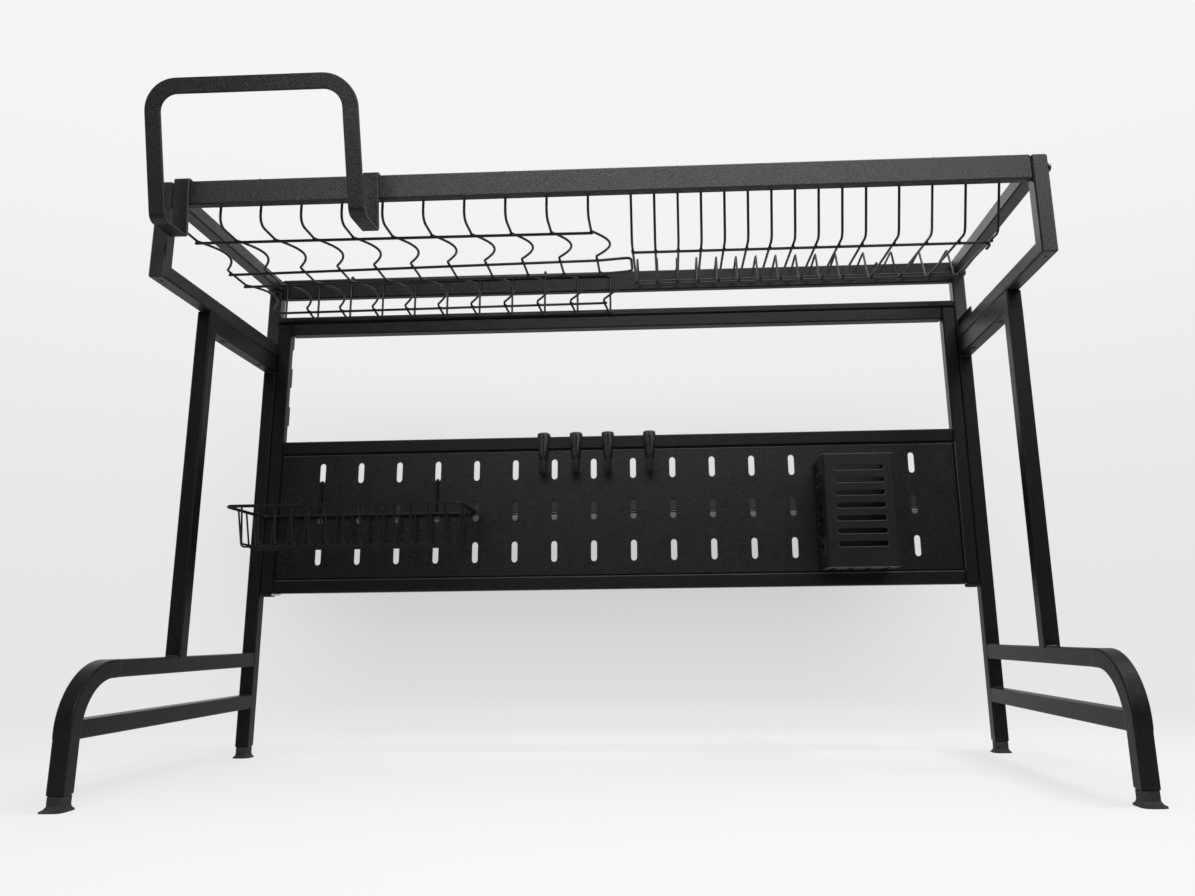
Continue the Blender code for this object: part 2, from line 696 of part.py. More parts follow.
def make_panel_bars():
    """Cap strip, top, middle and low bars, and the crossbar behind the board."""
    strip_x = IN_X - SEAT
    strip_low = PANEL_TOP + SEAT
    bar("panel_cap_strip", (-strip_x, BACK_Y, strip_low), (strip_x, DEPTH, strip_low + CAP_STRIP))
    bar("panel_top_bar", (-SPAN_X, BACK_Y, PANEL_TOP - TOP_BAR_HEIGHT), (SPAN_X, DEPTH, PANEL_TOP))
    bar("panel_mid_bar", (-SPAN_X, BACK_Y, MID_BAR_LOW), (SPAN_X, DEPTH, MID_BAR_TOP))
    bar("panel_low_bar", (-SPAN_X, BACK_Y, PANEL_LOW), (SPAN_X, DEPTH, LOW_BAR_TOP))
    low = TOP_ROW_Z - SLOT_ROW_PITCH - SLOT_HEIGHT / 2 + CROSSBAR_SHOW
    end = SPAN_X - BOARD_SHEET - WELD_STEP - SEAT
    bar("rear_crossbar", (-end, BOARD_BACK + SEAT, low), (end, DEPTH, low + CROSSBAR_HEIGHT))


def round_slot(x, z, width, height, steps=SLOT_QUARTER_STEPS):
    """Outline of an upright or a lying slot with round ends, as (x, z)."""
    radius = min(width, height) / 2
    run_x = width / 2 - radius
    run_z = height / 2 - radius
    start = -math.pi / 2 if run_x > run_z else 0
    points = []
    for end, sign in enumerate((1, -1)):
        for count in range(2 * steps + 1):
            turn = start + math.pi * end + math.pi / 2 * count / steps
            across = sign * run_x + radius * math.cos(turn)
            points.append((x + across, z + sign * run_z + radius * math.sin(turn)))
    return points


def make_peg_board():
    """Sheet-metal board: three rows of slots, and flanges folded back all round."""
    loops = [rectangle(-SPAN_X, BOARD_LOW, SPAN_X, BOARD_TOP)]
    for row in range(SLOT_ROWS):
        for column in range(SLOT_COLUMNS):
            x = FIRST_COLUMN + SLOT_PITCH * column
            loops.append(round_slot(x, TOP_ROW_Z - SLOT_ROW_PITCH * row, SLOT_WIDTH, SLOT_HEIGHT))
    outlines = [[(x, BOARD_Y, z) for x, z in loop] for loop in loops]
    board = add("peg_board", plate_mesh(outlines, (0, BOARD_SHEET, 0)), PAINTED)
    out = WELD_STEP
    wall = BOARD_SHEET + WELD_STEP
    outer = rectangle(-SPAN_X + out, BOARD_LOW + out, SPAN_X - out, BOARD_TOP - out)
    inner = rectangle(-SPAN_X + wall, BOARD_LOW + wall, SPAN_X - wall, BOARD_TOP - wall)
    start = BOARD_Y + BOARD_SHEET / 2
    outlines = [[(x, start, z) for x, z in loop] for loop in (outer, inner)]
    flange = add("board_flanges", plate_mesh(outlines, (0, BOARD_FLANGE - BOARD_SHEET / 2, 0)))
    return weld(board, flange)


def make_bracket():
    """Small angle bracket on the right side frame's lower tube, by the back post."""
    low_z = SIDE_LOW + TUBE + SEAT
    x = IN_X + TUBE_ROUNDING
    outline = [(x, low_z), (x + BRACKET_WIDTH, low_z), (x + BRACKET_WIDTH, low_z + BRACKET_SHEET),
               (x + BRACKET_SHEET, low_z + BRACKET_SHEET), (x + BRACKET_SHEET, low_z + BRACKET_HEIGHT),
               (x, low_z + BRACKET_HEIGHT)]
    start = BACK_Y - SEAT - TUBE_ROUNDING - BRACKET_LENGTH
    bm = plate_mesh([[(px, start, pz) for px, pz in outline]], (0, BRACKET_LENGTH, 0))
    return add("corner_bracket_right", bm, PAINTED)


def make_bolts():
    for side, name in ((-1, "left"), (1, "right")):
        for end in ("front", "back"):
            at = (side * WIDTH / 2, frame_bolt_y(end), BAR_Z)
            bolt(f"frame_bolt_{end}_{name}", at, (-side, 0, 0), TUBE + SEAT + BOLT_GRIP)
        for end, y in zip(("front", "back"), leg_bolt_places()):
            at = (side * POST_X, y, LEG_TOP - LEG_BAR_HEIGHT)
            bolt(f"leg_bolt_{end}_{name}", at, (0, 0, 1), LEG_BAR_HEIGHT + SEAT + BOLT_GRIP)


def over_bar(x, y, way):
    """Corners of a hook that rises from a rim and lies over a bar."""
    reach = HOOK_LAP + WIRE_R + SEAT
    return [((x, y, HOOK_Z), HOOK_BEND), ((x, y + way * reach, HOOK_Z), 0)]


def bulge(start, end, height, skew, amplitude, x):
    """Points of one sideways bulge of a bowl wire between two stations."""
    points = []
    for count in range(1, BULGE_POINTS):
        share = count / BULGE_POINTS
        y = start[0] + (end[0] - start[0]) * share
        z = start[1] + (end[1] - start[1]) * share + height
        points.append(((x + amplitude * math.sin(math.pi * share ** skew), y, z), 0))
    return points


def bowl_stations():
    """Places (y, z) of the bowl rack's wires A, B, C, D and its back corner."""
    floor = RACK_TOP - BOWL_FLOOR
    shares = (BOWL_A_SHARE, BOWL_B_SHARE, BOWL_C_SHARE, BOWL_D_SHARE)
    drops = (0, BOWL_DIP_AT_B, 0, BOWL_DIP_AT_D)
    places = [(RACK_FRONT + RACK_SPAN * share, floor - drop) for share, drop in zip(shares, drops)]
    return places + [(RACK_BACK, floor - BOWL_DIP_AT_BACK)]


def bowl_wire(x, hooked):
    a, b, c, d, back = bowl_stations()
    corners = over_bar(x, RACK_FRONT, -1)[::-1] if hooked else [((x, RACK_FRONT, RIM_Z), 0)]
    corners.append(((x, RACK_FRONT, a[1] + SEAT), BOWL_BEND))
    corners += [((x, *a), 0)] + bulge(a, b, 0, 1, BULGE_FRONT, x) + [((x, *b), 0)]
    corners += [((x, *c), 0)] + bulge(c, d, 0, BULGE_SKEW_SHARE, BULGE_BACK, x) + [((x, *d), 0)]
    corners.append(((x, *back), BOWL_BACK_BEND))
    corners += over_bar(x, RACK_BACK, 1) if hooked else [((x, RACK_BACK, RIM_Z), 0)]
    return rounded(corners, 2)


def one_wire(name, path, diameter):
    return add(name, wires([path], diameter), WIRED)


def make_bowl_rack():
    """Wavy cross wires welded on straight rails; rims and hooks carry it on the bars."""
    places = [BOWL_START + BOWL_PITCH * count for count in range(BOWL_WIRES)]
    paths = [bowl_wire(x, count in BOWL_HOOKED) for count, x in enumerate(places)]
    rack = add("bowl_rack", wires(paths, WIRE), WIRED)
    a, b, c, d, back = bowl_stations()
    under = (WIRE + RAIL_WIRE) / 2 - WIRE_BITE
    left = BOWL_START - WIRE_R
    right = WIRE_R - BOWL_END
    half_loops = [[((left, y, z - under), 0), ((right, y, z - under), 0),
                   ((LOOP_OVERHANG - BOWL_END, y, z - under + LOOP_RISE), LOOP_BEND)] for y, z in (b, c)]
    loop = half_loops[0] + half_loops[1][::-1]
    lines = [(a[0], a[1] - under), (d[0], d[1] - under), (back[0] - under, back[1] + RAIL_WIRE),
             (RACK_FRONT + under, RIM_Z - WIRE), (RACK_BACK - under, RIM_Z - WIRE)]
    rails = [((left, y, z), (right, y, z)) for y, z in lines]
    return weld(rack, add("bowl_rails", wires(rails + [rounded(loop)], RAIL_WIRE)))


def plate_places():
    """Wires of the plate rack: a close group, then a wider one at the right."""
    places = [PLATE_LEFT + PLATE_PITCH * count for count in range(PLATE_CLOSE_WIRES)]
    wide = [places[-1] + PLATE_PITCH * PLATE_WIDE_SHARE * (count + 1) for count in range(PLATE_WIDE_WIRES)]
    return places + wide


def plate_stations():
    """Places (y, z): front bend, rear corner, separator's top and back end."""
    low = RACK_TOP - PLATE_BOTTOM
    front = (RACK_FRONT + PLATE_LEAN, low)
    rear = (RACK_FRONT + RACK_SPAN * PLATE_REAR_SHARE, low + PLATE_RISE)
    top = (rear[0] + RACK_SPAN * SEPARATOR_SLOPE_SHARE, RACK_TOP - SEPARATOR_TOP)
    back = (RACK_BACK, RACK_TOP - SEPARATOR_TOP - SEPARATOR_FALL)
    return front, rear, top, back


def plate_wire(x, hooked):
    front, rear, top, back = plate_stations()
    corners = over_bar(x, RACK_FRONT, -1)[::-1] if hooked else []
    corners += [((x, RACK_FRONT, RIM_Z), 0), ((x, *front), PLATE_FRONT_BEND), ((x, *rear), SEPARATOR_BEND),
                ((x, *top), SEPARATOR_BEND)]
    corners.append(((x, *back), HOOK_BEND if hooked else 0))
    if hooked:
        corners += over_bar(x, RACK_BACK, 1)
    return rounded(corners, 2)


def make_plate_rack():
    """Upright plate wires: their rear ends rise as separators, then run back."""
    places = plate_places()
    for count, x in enumerate(places):
        one_wire(f"plate_wire_{count + 1:02d}", plate_wire(x, count in PLATE_HOOKED), WIRE)
    front, rear, top, back = plate_stations()
    left = places[0] - WIRE_R
    last = places[-1]
    for name, share in (("front_rail", PLATE_FRONT_RAIL_SHARE), ("rear_rail", PLATE_BACK_RAIL_SHARE)):
        y = RACK_FRONT + RACK_SPAN * share
        z = front[1] + (rear[1] - front[1]) * (y - front[0]) / (rear[0] - front[0]) - RAIL_DROP
        path = rounded([((left, y, z), 0), ((last, y, z), PLATE_RAIL_CORNER),
                        ((last, y + 2 * PLATE_RAIL_CORNER, z), 0)])
        one_wire("plate_" + name, path, RAIL_WIRE)
    lean = math.atan(PLATE_LEAN / (RIM_Z - front[1]))
    rim = (RACK_FRONT + WIRE * math.tan(lean) + RAIL_DROP / math.cos(lean), RIM_Z - WIRE)
    shelf = (back[0] - RAIL_WIRE - 2 * SEAT, back[1] + RAIL_DROP + SEAT)
    slope = math.atan((top[0] - rear[0]) / (top[1] - rear[1]))
    rise = HEAVY_WIRE + SEPARATOR_BEND
    reach = (WIRE + HEAVY_WIRE) / 2 + SEAT
    behind = (rear[0] + rise * math.tan(slope) + reach / math.cos(slope), rear[1] + rise)
    for name, (y, z), diameter in (("front_rim", rim, RAIL_WIRE), ("shelf_rail", shelf, RAIL_WIRE),
                                   ("separator_rail", behind, HEAVY_WIRE)):
        one_wire("plate_" + name, [(left, y, z), (last + WIRE_R, y, z)], diameter)


def trough_corners(x):
    """Holder's strap in the plane of one leg, from its tail behind the bar to the leg."""
    half = STRAP_SHEET / 2
    behind = BAR_DEPTH + SEAT + half
    before = -SEAT - half
    over = RACK_TOP + SEAT + half
    low = RACK_TOP - TROUGH_LOW + half
    front = before - TROUGH_DEPTH - STRAP_SHEET
    bend = HOLDER_BEND + half
    knee = low + TROUGH_FRONT_BEND
    lean = math.tan(HOLDER_LEAN)
    top = RACK_TOP + HOLDER_TOP - HOLDER_CORNER
    corners = [((x, behind, over - HOLDER_TAIL - bend), 0), ((x, behind, over), bend),
               ((x, before, over), bend), ((x, before, low), TROUGH_BACK_BEND),
               ((x, front, low), TROUGH_FRONT_BEND)]
    return corners, (x, front - (top - knee) * lean, top)


def holder_path():
    """Points of the whole strap and half its width at each of them."""
    left = -IN_X + HOLDER_INSET + STRAP / 2
    right = left + HOLDER_WIDTH - STRAP
    corners, leg_top = trough_corners(left)
    trough = rounded(corners + [(leg_top, 0)], TROUGH_BEND_STEPS)
    lean = Vector((0, -math.sin(HOLDER_LEAN), math.cos(HOLDER_LEAN)))
    radius = HOLDER_CORNER - STRAP / 2
    across = [Vector((STRAP / 2, 0, 0))] * (len(trough) - 1)
    path = trough[:-1]
    centre = Vector(leg_top) + Vector((radius, 0, 0))
    for count in range(HOLDER_CORNER_STEPS + 1):
        turn = math.pi / 2 * count / HOLDER_CORNER_STEPS
        outward = Vector((-math.cos(turn), 0, 0)) + lean * math.sin(turn)
        path.append(centre + outward * radius)
        across.append(-outward * (STRAP / 2))
    middle = (left + right) / 2
    mirrored = [Vector((2 * middle - point.x, point.y, point.z)) for point in reversed(path)]
    across += [Vector((-half.x, half.y, half.z)) for half in reversed(across)]
    return path + mirrored, across


def make_board_holder():
    """One flat strap: two hooks over the front bar, two troughs and an arch."""
    path, across = holder_path()
    return add("board_holder", strip_mesh(path, across, STRAP_SHEET), PAINTED)


def ring_path(x, y, z, half_x, half_y, corner):
    corners = [((x - half_x, y - half_y, z), corner), ((x + half_x, y - half_y, z), corner),
               ((x + half_x, y + half_y, z), corner), ((x - half_x, y + half_y, z), corner)]
    return rounded(corners, 3, True)


def basket_middle():
    columns = [FIRST_COLUMN + SLOT_PITCH * column for column in BASKET_COLUMNS]
    return sum(columns) / len(columns) + BASKET_SHIFT


def make_basket():
    """Welded wire basket with two hooks that drop into slots of the board."""
    x = basket_middle()
    hook_r = BASKET_HOOK_WIRE / 2
    strap_y = BOARD_Y - SEAT - hook_r
    rim_r = BASKET_RIM_WIRE / 2
    back = strap_y - hook_r - rim_r + WIRE_BITE
    y = back - BASKET_DEPTH / 2
    rim_z = TOP_SLOT_FOOT - BASKET_DROP
    low = rim_z - BASKET_HEIGHT
    half_x = BASKET_LENGTH / 2
    half_y = BASKET_DEPTH / 2
    wire_r = BASKET_WIRE / 2
    inset = rim_r + wire_r - WIRE_BITE
    foot_x = half_x - BASKET_TAPER
    foot_y = half_y - BASKET_TAPER
    paths = []
    for count in range(BASKET_CROSS_WIRES):
        at = x + (half_x - BASKET_END_GAP) * (2 * count / (BASKET_CROSS_WIRES - 1) - 1)
        corners = [((at, y - half_y + inset, rim_z), 0), ((at, y - foot_y, low), BASKET_BEND),
                   ((at, y + foot_y, low), BASKET_BEND), ((at, y + half_y - inset, rim_z), 0)]
        paths.append(rounded(corners, 2))
    basket = add("wire_basket", wires(paths, BASKET_WIRE, sides=FINE_WIRE_SIDES), WIRED)
    under = low - BASKET_WIRE + WIRE_BITE
    paths = []
    for count in range(BASKET_LONG_WIRES):
        at = y + (half_y - BASKET_SIDE_GAP) * (2 * count / (BASKET_LONG_WIRES - 1) - 1)
        corners = [((x - half_x + inset, at, rim_z), 0), ((x - foot_x, at, under), BASKET_BEND),
                   ((x + foot_x, at, under), BASKET_BEND), ((x + half_x - inset, at, rim_z), 0)]
        paths.append(rounded(corners, 2))
    guide = add("basket_long_wires", wires(paths, BASKET_WIRE, sides=FINE_WIRE_SIDES))
    rim = add("basket_rim", wires([ring_path(x, y, rim_z, half_x, half_y, BASKET_CORNER)],
                                  BASKET_RIM_WIRE, closed=True))
    weld(basket, guide, rim)
    for column in BASKET_COLUMNS:
        at = FIRST_COLUMN + SLOT_PITCH * column
        top = TOP_SLOT_FOOT + SEAT + hook_r
        behind = BOARD_BACK + SEAT + hook_r
        corners = [((at, strap_y, rim_z - BASKET_RIM_WIRE), 0), ((at, strap_y, top), BASKET_HOOK_BEND),
                   ((at, behind, top), BASKET_HOOK_BEND), ((at, behind, top - BASKET_HOOK_TAIL), 0)]
        weld(basket, add(f"basket_hook_{column}", wires([rounded(corners)], BASKET_HOOK_WIRE)))
    return basket


def box_outline(half_x, half_y, corner):
    corners = [((-half_x, -half_y, 0), corner), ((half_x, -half_y, 0), corner),
               ((half_x, half_y, 0), corner), ((-half_x, half_y, 0), corner)]
    return rounded(corners, BOX_CORNER_STEPS, True)


def make_cutlery_box():
    """Open-topped box: slots in front and sides, drain slots, two back tongues."""
    columns = [FIRST_COLUMN + SLOT_PITCH * column for column in BOX_COLUMNS]
    x = sum(columns) / len(columns) + BOX_SHIFT
    back = BOARD_Y - 2 * SEAT
    y = back - BOX_DEPTH / 2
    top = TOP_SLOT_FOOT + BOX_TOP_OVER_SLOT
    low = top - BOX_HEIGHT
    half_x = BOX_WIDTH / 2
    half_y = BOX_DEPTH / 2
    outer = [(x + point.x, y + point.y, low) for point in box_outline(half_x, half_y, BOX_CORNER)]
    box = add("cutlery_box", plate_mesh([outer], (0, 0, BOX_HEIGHT)), MOULDED)
    inside = box_outline(half_x - BOX_WALL, half_y - BOX_WALL, BOX_CORNER - BOX_WALL)
    hollow = [(x + point.x, y + point.y, low + BOX_WALL) for point in inside]
    cut(box, add("box_hollow", plate_mesh([hollow], (0, 0, BOX_HEIGHT))))
    front = y - half_y - OVERRUN
    pitch = (BOX_HEIGHT - BOX_SLOT_DROP - BOX_SLOT_RISE) / (BOX_SLOTS - 1)
    for count in range(BOX_SLOTS):
        z = top - BOX_SLOT_DROP - pitch * count
        slot = round_slot(x, z, BOX_WIDTH - 2 * BOX_SLOT_SIDE, BOX_SLOT_HEIGHT)
        outline = [(px, front, pz) for px, pz in slot]
        cut(box, add(f"front_slot_{count}", plate_mesh([outline], (0, 2 * OVERRUN + BOX_WALL, 0))))
        slot = round_slot(y, z, BOX_DEPTH - 2 * BOX_SLOT_END, BOX_SLOT_HEIGHT)
        through = side_mesh([slot], x - half_x - OVERRUN, x + half_x + OVERRUN)
        cut(box, add(f"side_slot_{count}", through))
    for count in range(BOX_DRAINS):
        at = x + BOX_WIDTH * ((count + 0.5) / BOX_DRAINS - 0.5)
        slot = round_slot(at, y, BOX_DRAIN_WIDTH, BOX_DEPTH - 2 * BOX_DRAIN_END)
        outline = [(px, py, low - OVERRUN) for px, py in slot]
        cut(box, add(f"drain_slot_{count}", plate_mesh([outline], (0, 0, 2 * OVERRUN + BOX_WALL))))
    for column, at in zip(BOX_COLUMNS, columns):
        foot = TONGUE_FOOT
        behind = BOARD_BACK + SEAT
        outline = [(back - BOX_WALL / 2, foot), (behind, foot), (behind, foot + TONGUE_SHEET - TONGUE_TAIL),
                   (behind + TONGUE_SHEET, foot + TONGUE_SHEET - TONGUE_TAIL),
                   (behind + TONGUE_SHEET, foot + TONGUE_SHEET), (back - BOX_WALL / 2, foot + TONGUE_SHEET)]
        tongue = side_mesh([outline], at - TONGUE_WIDTH / 2, at + TONGUE_WIDTH / 2)
        weld(box, add(f"tongue_{column}", tongue))
    return box


def fluted_ring(bm, x, y_face, z, width, thick, flute):
    """Section of a hook's body: flat back, rounded front with shallow flutes."""
    ring = []
    for count in range(FLUTE_POINTS + 1):
        share = count / FLUTE_POINTS
        across = -math.cos(math.pi * share) * width / 2
        proud = math.sin(math.pi * share) ** FLUTE_ROUNDNESS * thick
        groove = flute * max(0, -math.cos(math.tau * FLUTES * share)) * math.sin(math.pi * share)
        ring.append(bm.verts.new((x + across, y_face - proud + groove, z)))
    return ring


def hook_front(x, face):
    """Fluted body in front of the bar, from the crown down into the stem."""
    crown = MID_BAR_TOP + SEAT
    end = MID_BAR_TOP - HOOK_BODY_DROP
    levels = (crown + HOOK_CROWN, crown + HOOK_CROWN * (1 - HOOK_TOP_EDGE_SHARE), crown,
              MID_BAR_TOP - HOOK_CROWN / 2, MID_BAR_TOP - HOOK_BODY_DROP / 2, end, end - HOOK_STEM / 2)
    bm = bmesh.new()
    shares = zip(levels, HOOK_WIDTH_SHARES, HOOK_THICK_SHARES, HOOK_FLUTE_SHARES)
    rings = [fluted_ring(bm, x, face, z, HOOK_WIDTH * width, HOOK_CHEEK * thick, FLUTE_DEPTH * flute)
             for z, width, thick, flute in shares]
    skin(bm, rings, False)
    return bm


def make_hook(number, x):
    """A moulded hook: saddle over the bar, fluted body, stem and forward crook."""
    name = f"panel_hook_{number}"
    face = BACK_Y - SEAT
    behind = DEPTH + SEAT
    item = add(name, hook_front(x, face), MOULDED)
    crown = MID_BAR_TOP + SEAT
    half = HOOK_WIDTH / 2 * SADDLE_WIDTH_SHARE
    before = face - HOOK_CHEEK / 3
    lip = behind + HOOK_BACK_SHEET
    top = crown + HOOK_CROWN * SADDLE_RISE_SHARE
    outline = [(before, crown), (behind, crown), (behind, crown - HOOK_BACK_LIP),
               (lip, crown - HOOK_BACK_LIP), (lip, crown + HOOK_CROWN / 3),
               (behind - HOOK_CROWN / 3, top), (before, top)]
    saddle = add(name + "_saddle", side_mesh([outline], x - half, x + half))
    stem_y = face - HOOK_STEM / 2
    low = MID_BAR_TOP - HOOK_DROP + HOOK_STEM / 2
    tip_y = stem_y - HOOK_REACH
    bend = HOOK_REACH / 2
    start = MID_BAR_TOP - HOOK_BODY_DROP * STEM_START_SHARE
    crook = rounded([((x, stem_y, start), 0), ((x, stem_y, low), bend), ((x, tip_y, low), bend),
                     ((x, tip_y, low + HOOK_TIP_RISE), 0)], HOOK_BEND_STEPS)
    bm = bmesh.new()
    draw_wire(bm, crook, HOOK_STEM, sides=HOOK_SIDES)
    return weld(item, saddle, add(name + "_crook", bm))


clear_scene()
place = make_origin()
for frame_side, frame_name in ((-1, "left"), (1, "right")):
    make_side_frame(frame_side, frame_name)
    make_leg_frame(frame_side, frame_name)
    make_foot("foot_front_" + frame_name, frame_side * POST_X, FRONT_FOOT_Y, SKIRT_TOE)
    make_foot("foot_back_" + frame_name, frame_side * POST_X, DEPTH - TUBE / 2, 0)
make_long_bars()
make_rails()
make_panel_bars()
make_peg_board()
make_bracket()
make_bolts()
make_bowl_rack()
make_plate_rack()
make_board_holder()
make_basket()
make_cutlery_box()
for hook_number, hook_share in enumerate(HOOK_PLACE_SHARES):
    make_hook(hook_number + 1, hook_share * SPAN_X)
for solid in place.children:
    if not solid.hide_render:
        solid.modifiers.new("flat_faces", "WEIGHTED_NORMAL").keep_sharp = True
bpy.context.view_layer.update()
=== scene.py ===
"""Looks of the over-sink dish rack: powder-coated tubes and sheet, coated wire,
rubber feet, moulded hooks and cutlery box, on a pale studio floor."""

import math

import bmesh
import bpy
from mathutils import Matrix, Vector


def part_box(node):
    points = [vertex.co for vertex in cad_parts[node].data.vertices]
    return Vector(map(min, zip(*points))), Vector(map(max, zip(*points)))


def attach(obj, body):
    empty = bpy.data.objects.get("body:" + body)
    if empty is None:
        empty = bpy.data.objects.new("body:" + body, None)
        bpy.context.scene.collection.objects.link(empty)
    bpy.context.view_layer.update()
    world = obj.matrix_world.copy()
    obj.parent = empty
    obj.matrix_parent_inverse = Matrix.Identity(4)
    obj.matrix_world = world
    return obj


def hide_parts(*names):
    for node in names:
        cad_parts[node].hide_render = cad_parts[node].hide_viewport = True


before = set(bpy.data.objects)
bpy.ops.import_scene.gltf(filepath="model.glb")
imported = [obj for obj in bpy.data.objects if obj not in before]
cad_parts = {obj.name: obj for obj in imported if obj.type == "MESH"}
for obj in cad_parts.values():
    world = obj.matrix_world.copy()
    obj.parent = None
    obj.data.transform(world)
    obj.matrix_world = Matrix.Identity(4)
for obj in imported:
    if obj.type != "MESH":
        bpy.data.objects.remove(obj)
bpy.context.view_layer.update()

# The rack's own layout: y = 0 at the front bar's face, moved by this much
PLACE_Y = -0.1084
WIDTH = 0.850
DEPTH = 0.2825
TUBE = 0.015
ROUNDING = 0.0014
SEAT = 0.0003
POST_X = WIDTH / 2 - TUBE / 2
IN_X = WIDTH / 2 - TUBE
BACK_Y = DEPTH - TUBE
RACK_TOP = 0.5628
BAR_DEPTH = 0.010

# Leg frames
LEG_TOP = 0.4645
LEG_BAR = 0.020
FOOT_RAIL_TOP = 0.1134
BRACE_LOW = 0.0527
FRONT_LEG = 0.098
FRONT_FOOT = -0.055            # the foot tube's centre line
FOOT_BEND = 0.0475
BEND_SWELL = 0.00053           # the solid's bend runs this far outside a true arc
BEND_NARROW = 0.00015          # and is this much narrower, each side
BEND_SKIN = 0.00026            # the finer skin stands this far out of it
BOLT_INSET = 0.030
WELD_INSET = 0.0015
WELD = 0.0011
LEG_FOOT_WELD = 0.0019

# Slotted panel
RAIL_IN_X = IN_X - SEAT - TUBE
SPAN_X = RAIL_IN_X - SEAT
PANEL_LOW = 0.1795
LOW_BAR_TOP = PANEL_LOW + 0.0148
BOARD_TOP = 0.3572 - TUBE - SEAT
BOARD_LOW = LOW_BAR_TOP + SEAT
BOARD_Y = BACK_Y + 0.0004
SLOT_COLUMNS = 16
FIRST_COLUMN = -SPAN_X + 0.05015
SLOT_PITCH = -2 * FIRST_COLUMN / (SLOT_COLUMNS - 1)
TOP_ROW_Z = BOARD_TOP - 0.0237
SLOT_HEIGHT = 0.024

# Wires of the racks
WIRE = 0.0026
RAIL_WIRE = 0.0030
STRAP_SHEET = 0.0025
RACK_FRONT = BAR_DEPTH + STRAP_SHEET + 2 * SEAT + WIRE / 2
RACK_BACK = BACK_Y - 2 * SEAT - WIRE / 2
RACK_SPAN = RACK_BACK - RACK_FRONT
RIM_Z = RACK_TOP - 0.012
BACK_RIM_Z = RACK_TOP - 0.0050
BOWL_START = -IN_X + 0.0028
BOWL_END = 0.0072
BOWL_WIRES = 11
BOWL_HOOKED = (2, 8)           # wires that hang over the two long bars
BOWL_PITCH = (-BOWL_END - BOWL_START) / (BOWL_WIRES - 1)
BOWL_FLOOR_Z = RACK_TOP - 0.0430
BOWL_SHARES = (0.145, 0.448, 0.597, 0.950)
BOWL_DIPS = (0, 0.0015, 0, 0.0020)
BOWL_BOWS = ((0.0022, 0.0008), (-0.0008, 0.0040), (-0.0022, 0.0018), (-0.0010, 0.0012))
BOWL_BACK_Z = BOWL_FLOOR_Z - 0.0145
BACK_STEP = 0.0055             # the wires' rear ends stand this far to the right
BULGE_RUN = 0.90               # of the way between two rails
BULGE_STEPS = 16
FRONT_BULGE = 0.0165
REAR_BULGE = 0.0185
BULGE_SKEW = 0.86              # below 1: the rear bulge's crest lies nearer its start
HOOK_BEND = 0.003
LOOP_TIP = 0.0365              # past the last wire
LOOP_RISE = 0.0024
LOOP_BEND = 0.007
PLATE_LEFT = 0.0340
PLATE_LAST = IN_X - 0.0258
PLATE_CLOSE = 11
PLATE_WIDE = 4
PLATE_WIDE_SHARE = 1.391
PLATE_PITCH = (PLATE_LAST - PLATE_LEFT) / (PLATE_CLOSE - 1 + PLATE_WIDE * PLATE_WIDE_SHARE)
PLATE_LEAN = 0.0185
PLATE_LOW = RACK_TOP - 0.064
PLATE_RISE = 0.0090            # of the floor, from front to rear
PLATE_REAR_SHARE = 0.640
PLATE_RAIL_SHARES = (0.150, 0.575)

# Board holder
STRAP = 0.015
HOLDER_WIDTH = 0.200
HOLDER_INSET = 0.0014
HOLDER_CORNER = 0.0320
HOLDER_LEG_TOP = 0.0400        # over the bars' top
HOLDER_LEAN = math.radians(12.5)
HOLDER_TAIL = 0.0115
HOLDER_BEND = 0.0034
TROUGH_LOW = 0.0605            # below the bars' top
TROUGH_DEPTH = 0.0360
TROUGH_KNEE = 0.027
TROUGH_BACK_BEND = 0.0055
TROUGH_FRONT_BEND = 0.0085
STRAP_EDGE = 0.0005
HOLDER_SKEW = 0.06             # the real strap leans this much to the left as it rises
SKEW_MIDDLE = 0.58
LEG_ASIDE = 0.0014             # its front legs stand this far to the left of its hooks
LEG_ASIDE_RUN = 0.035

# Wire basket and cutlery box
SLOT_FOOT = TOP_ROW_Z - SLOT_HEIGHT / 2
BASKET_X = FIRST_COLUMN + SLOT_PITCH * 1.5 - 0.0096
BASKET_BACK = BOARD_Y - SEAT - 0.0034 - 0.0018 + 0.0005
BASKET_RIM = SLOT_FOOT - 0.0380
BASKET_LOW = BASKET_RIM - 0.0395
BASKET_HALF_X = 0.127
BASKET_HALF_Y = 0.046
BASKET_MIDDLE = BASKET_BACK - BASKET_HALF_Y
BASKET_WIRES = 13
BASKET_END_GAP = 0.0166
BASKET_SIDE_GAP = 0.0260
BOX_X = FIRST_COLUMN + SLOT_PITCH * 13.5 - 0.0045
BOX_HALF_X = 0.039
BOX_FRONT = BOARD_Y - 2 * SEAT - 0.064
BOX_BACK = BOARD_Y - 2 * SEAT
BOX_TOP = SLOT_FOOT + 0.0118
BOX_SLOTS = 7
BOX_SLOT_HEIGHT = 0.0062
BOX_FIRST_SLOT = BOX_TOP - 0.0150
BOX_SLOT_PITCH = (0.122 - 0.0150 - 0.0242) / (BOX_SLOTS - 1)
BOX_SLOT_REACH = BOX_HALF_X - 0.0120
BOX_CORNER = 0.003
BOX_WALL_MIDDLE = 0.0008

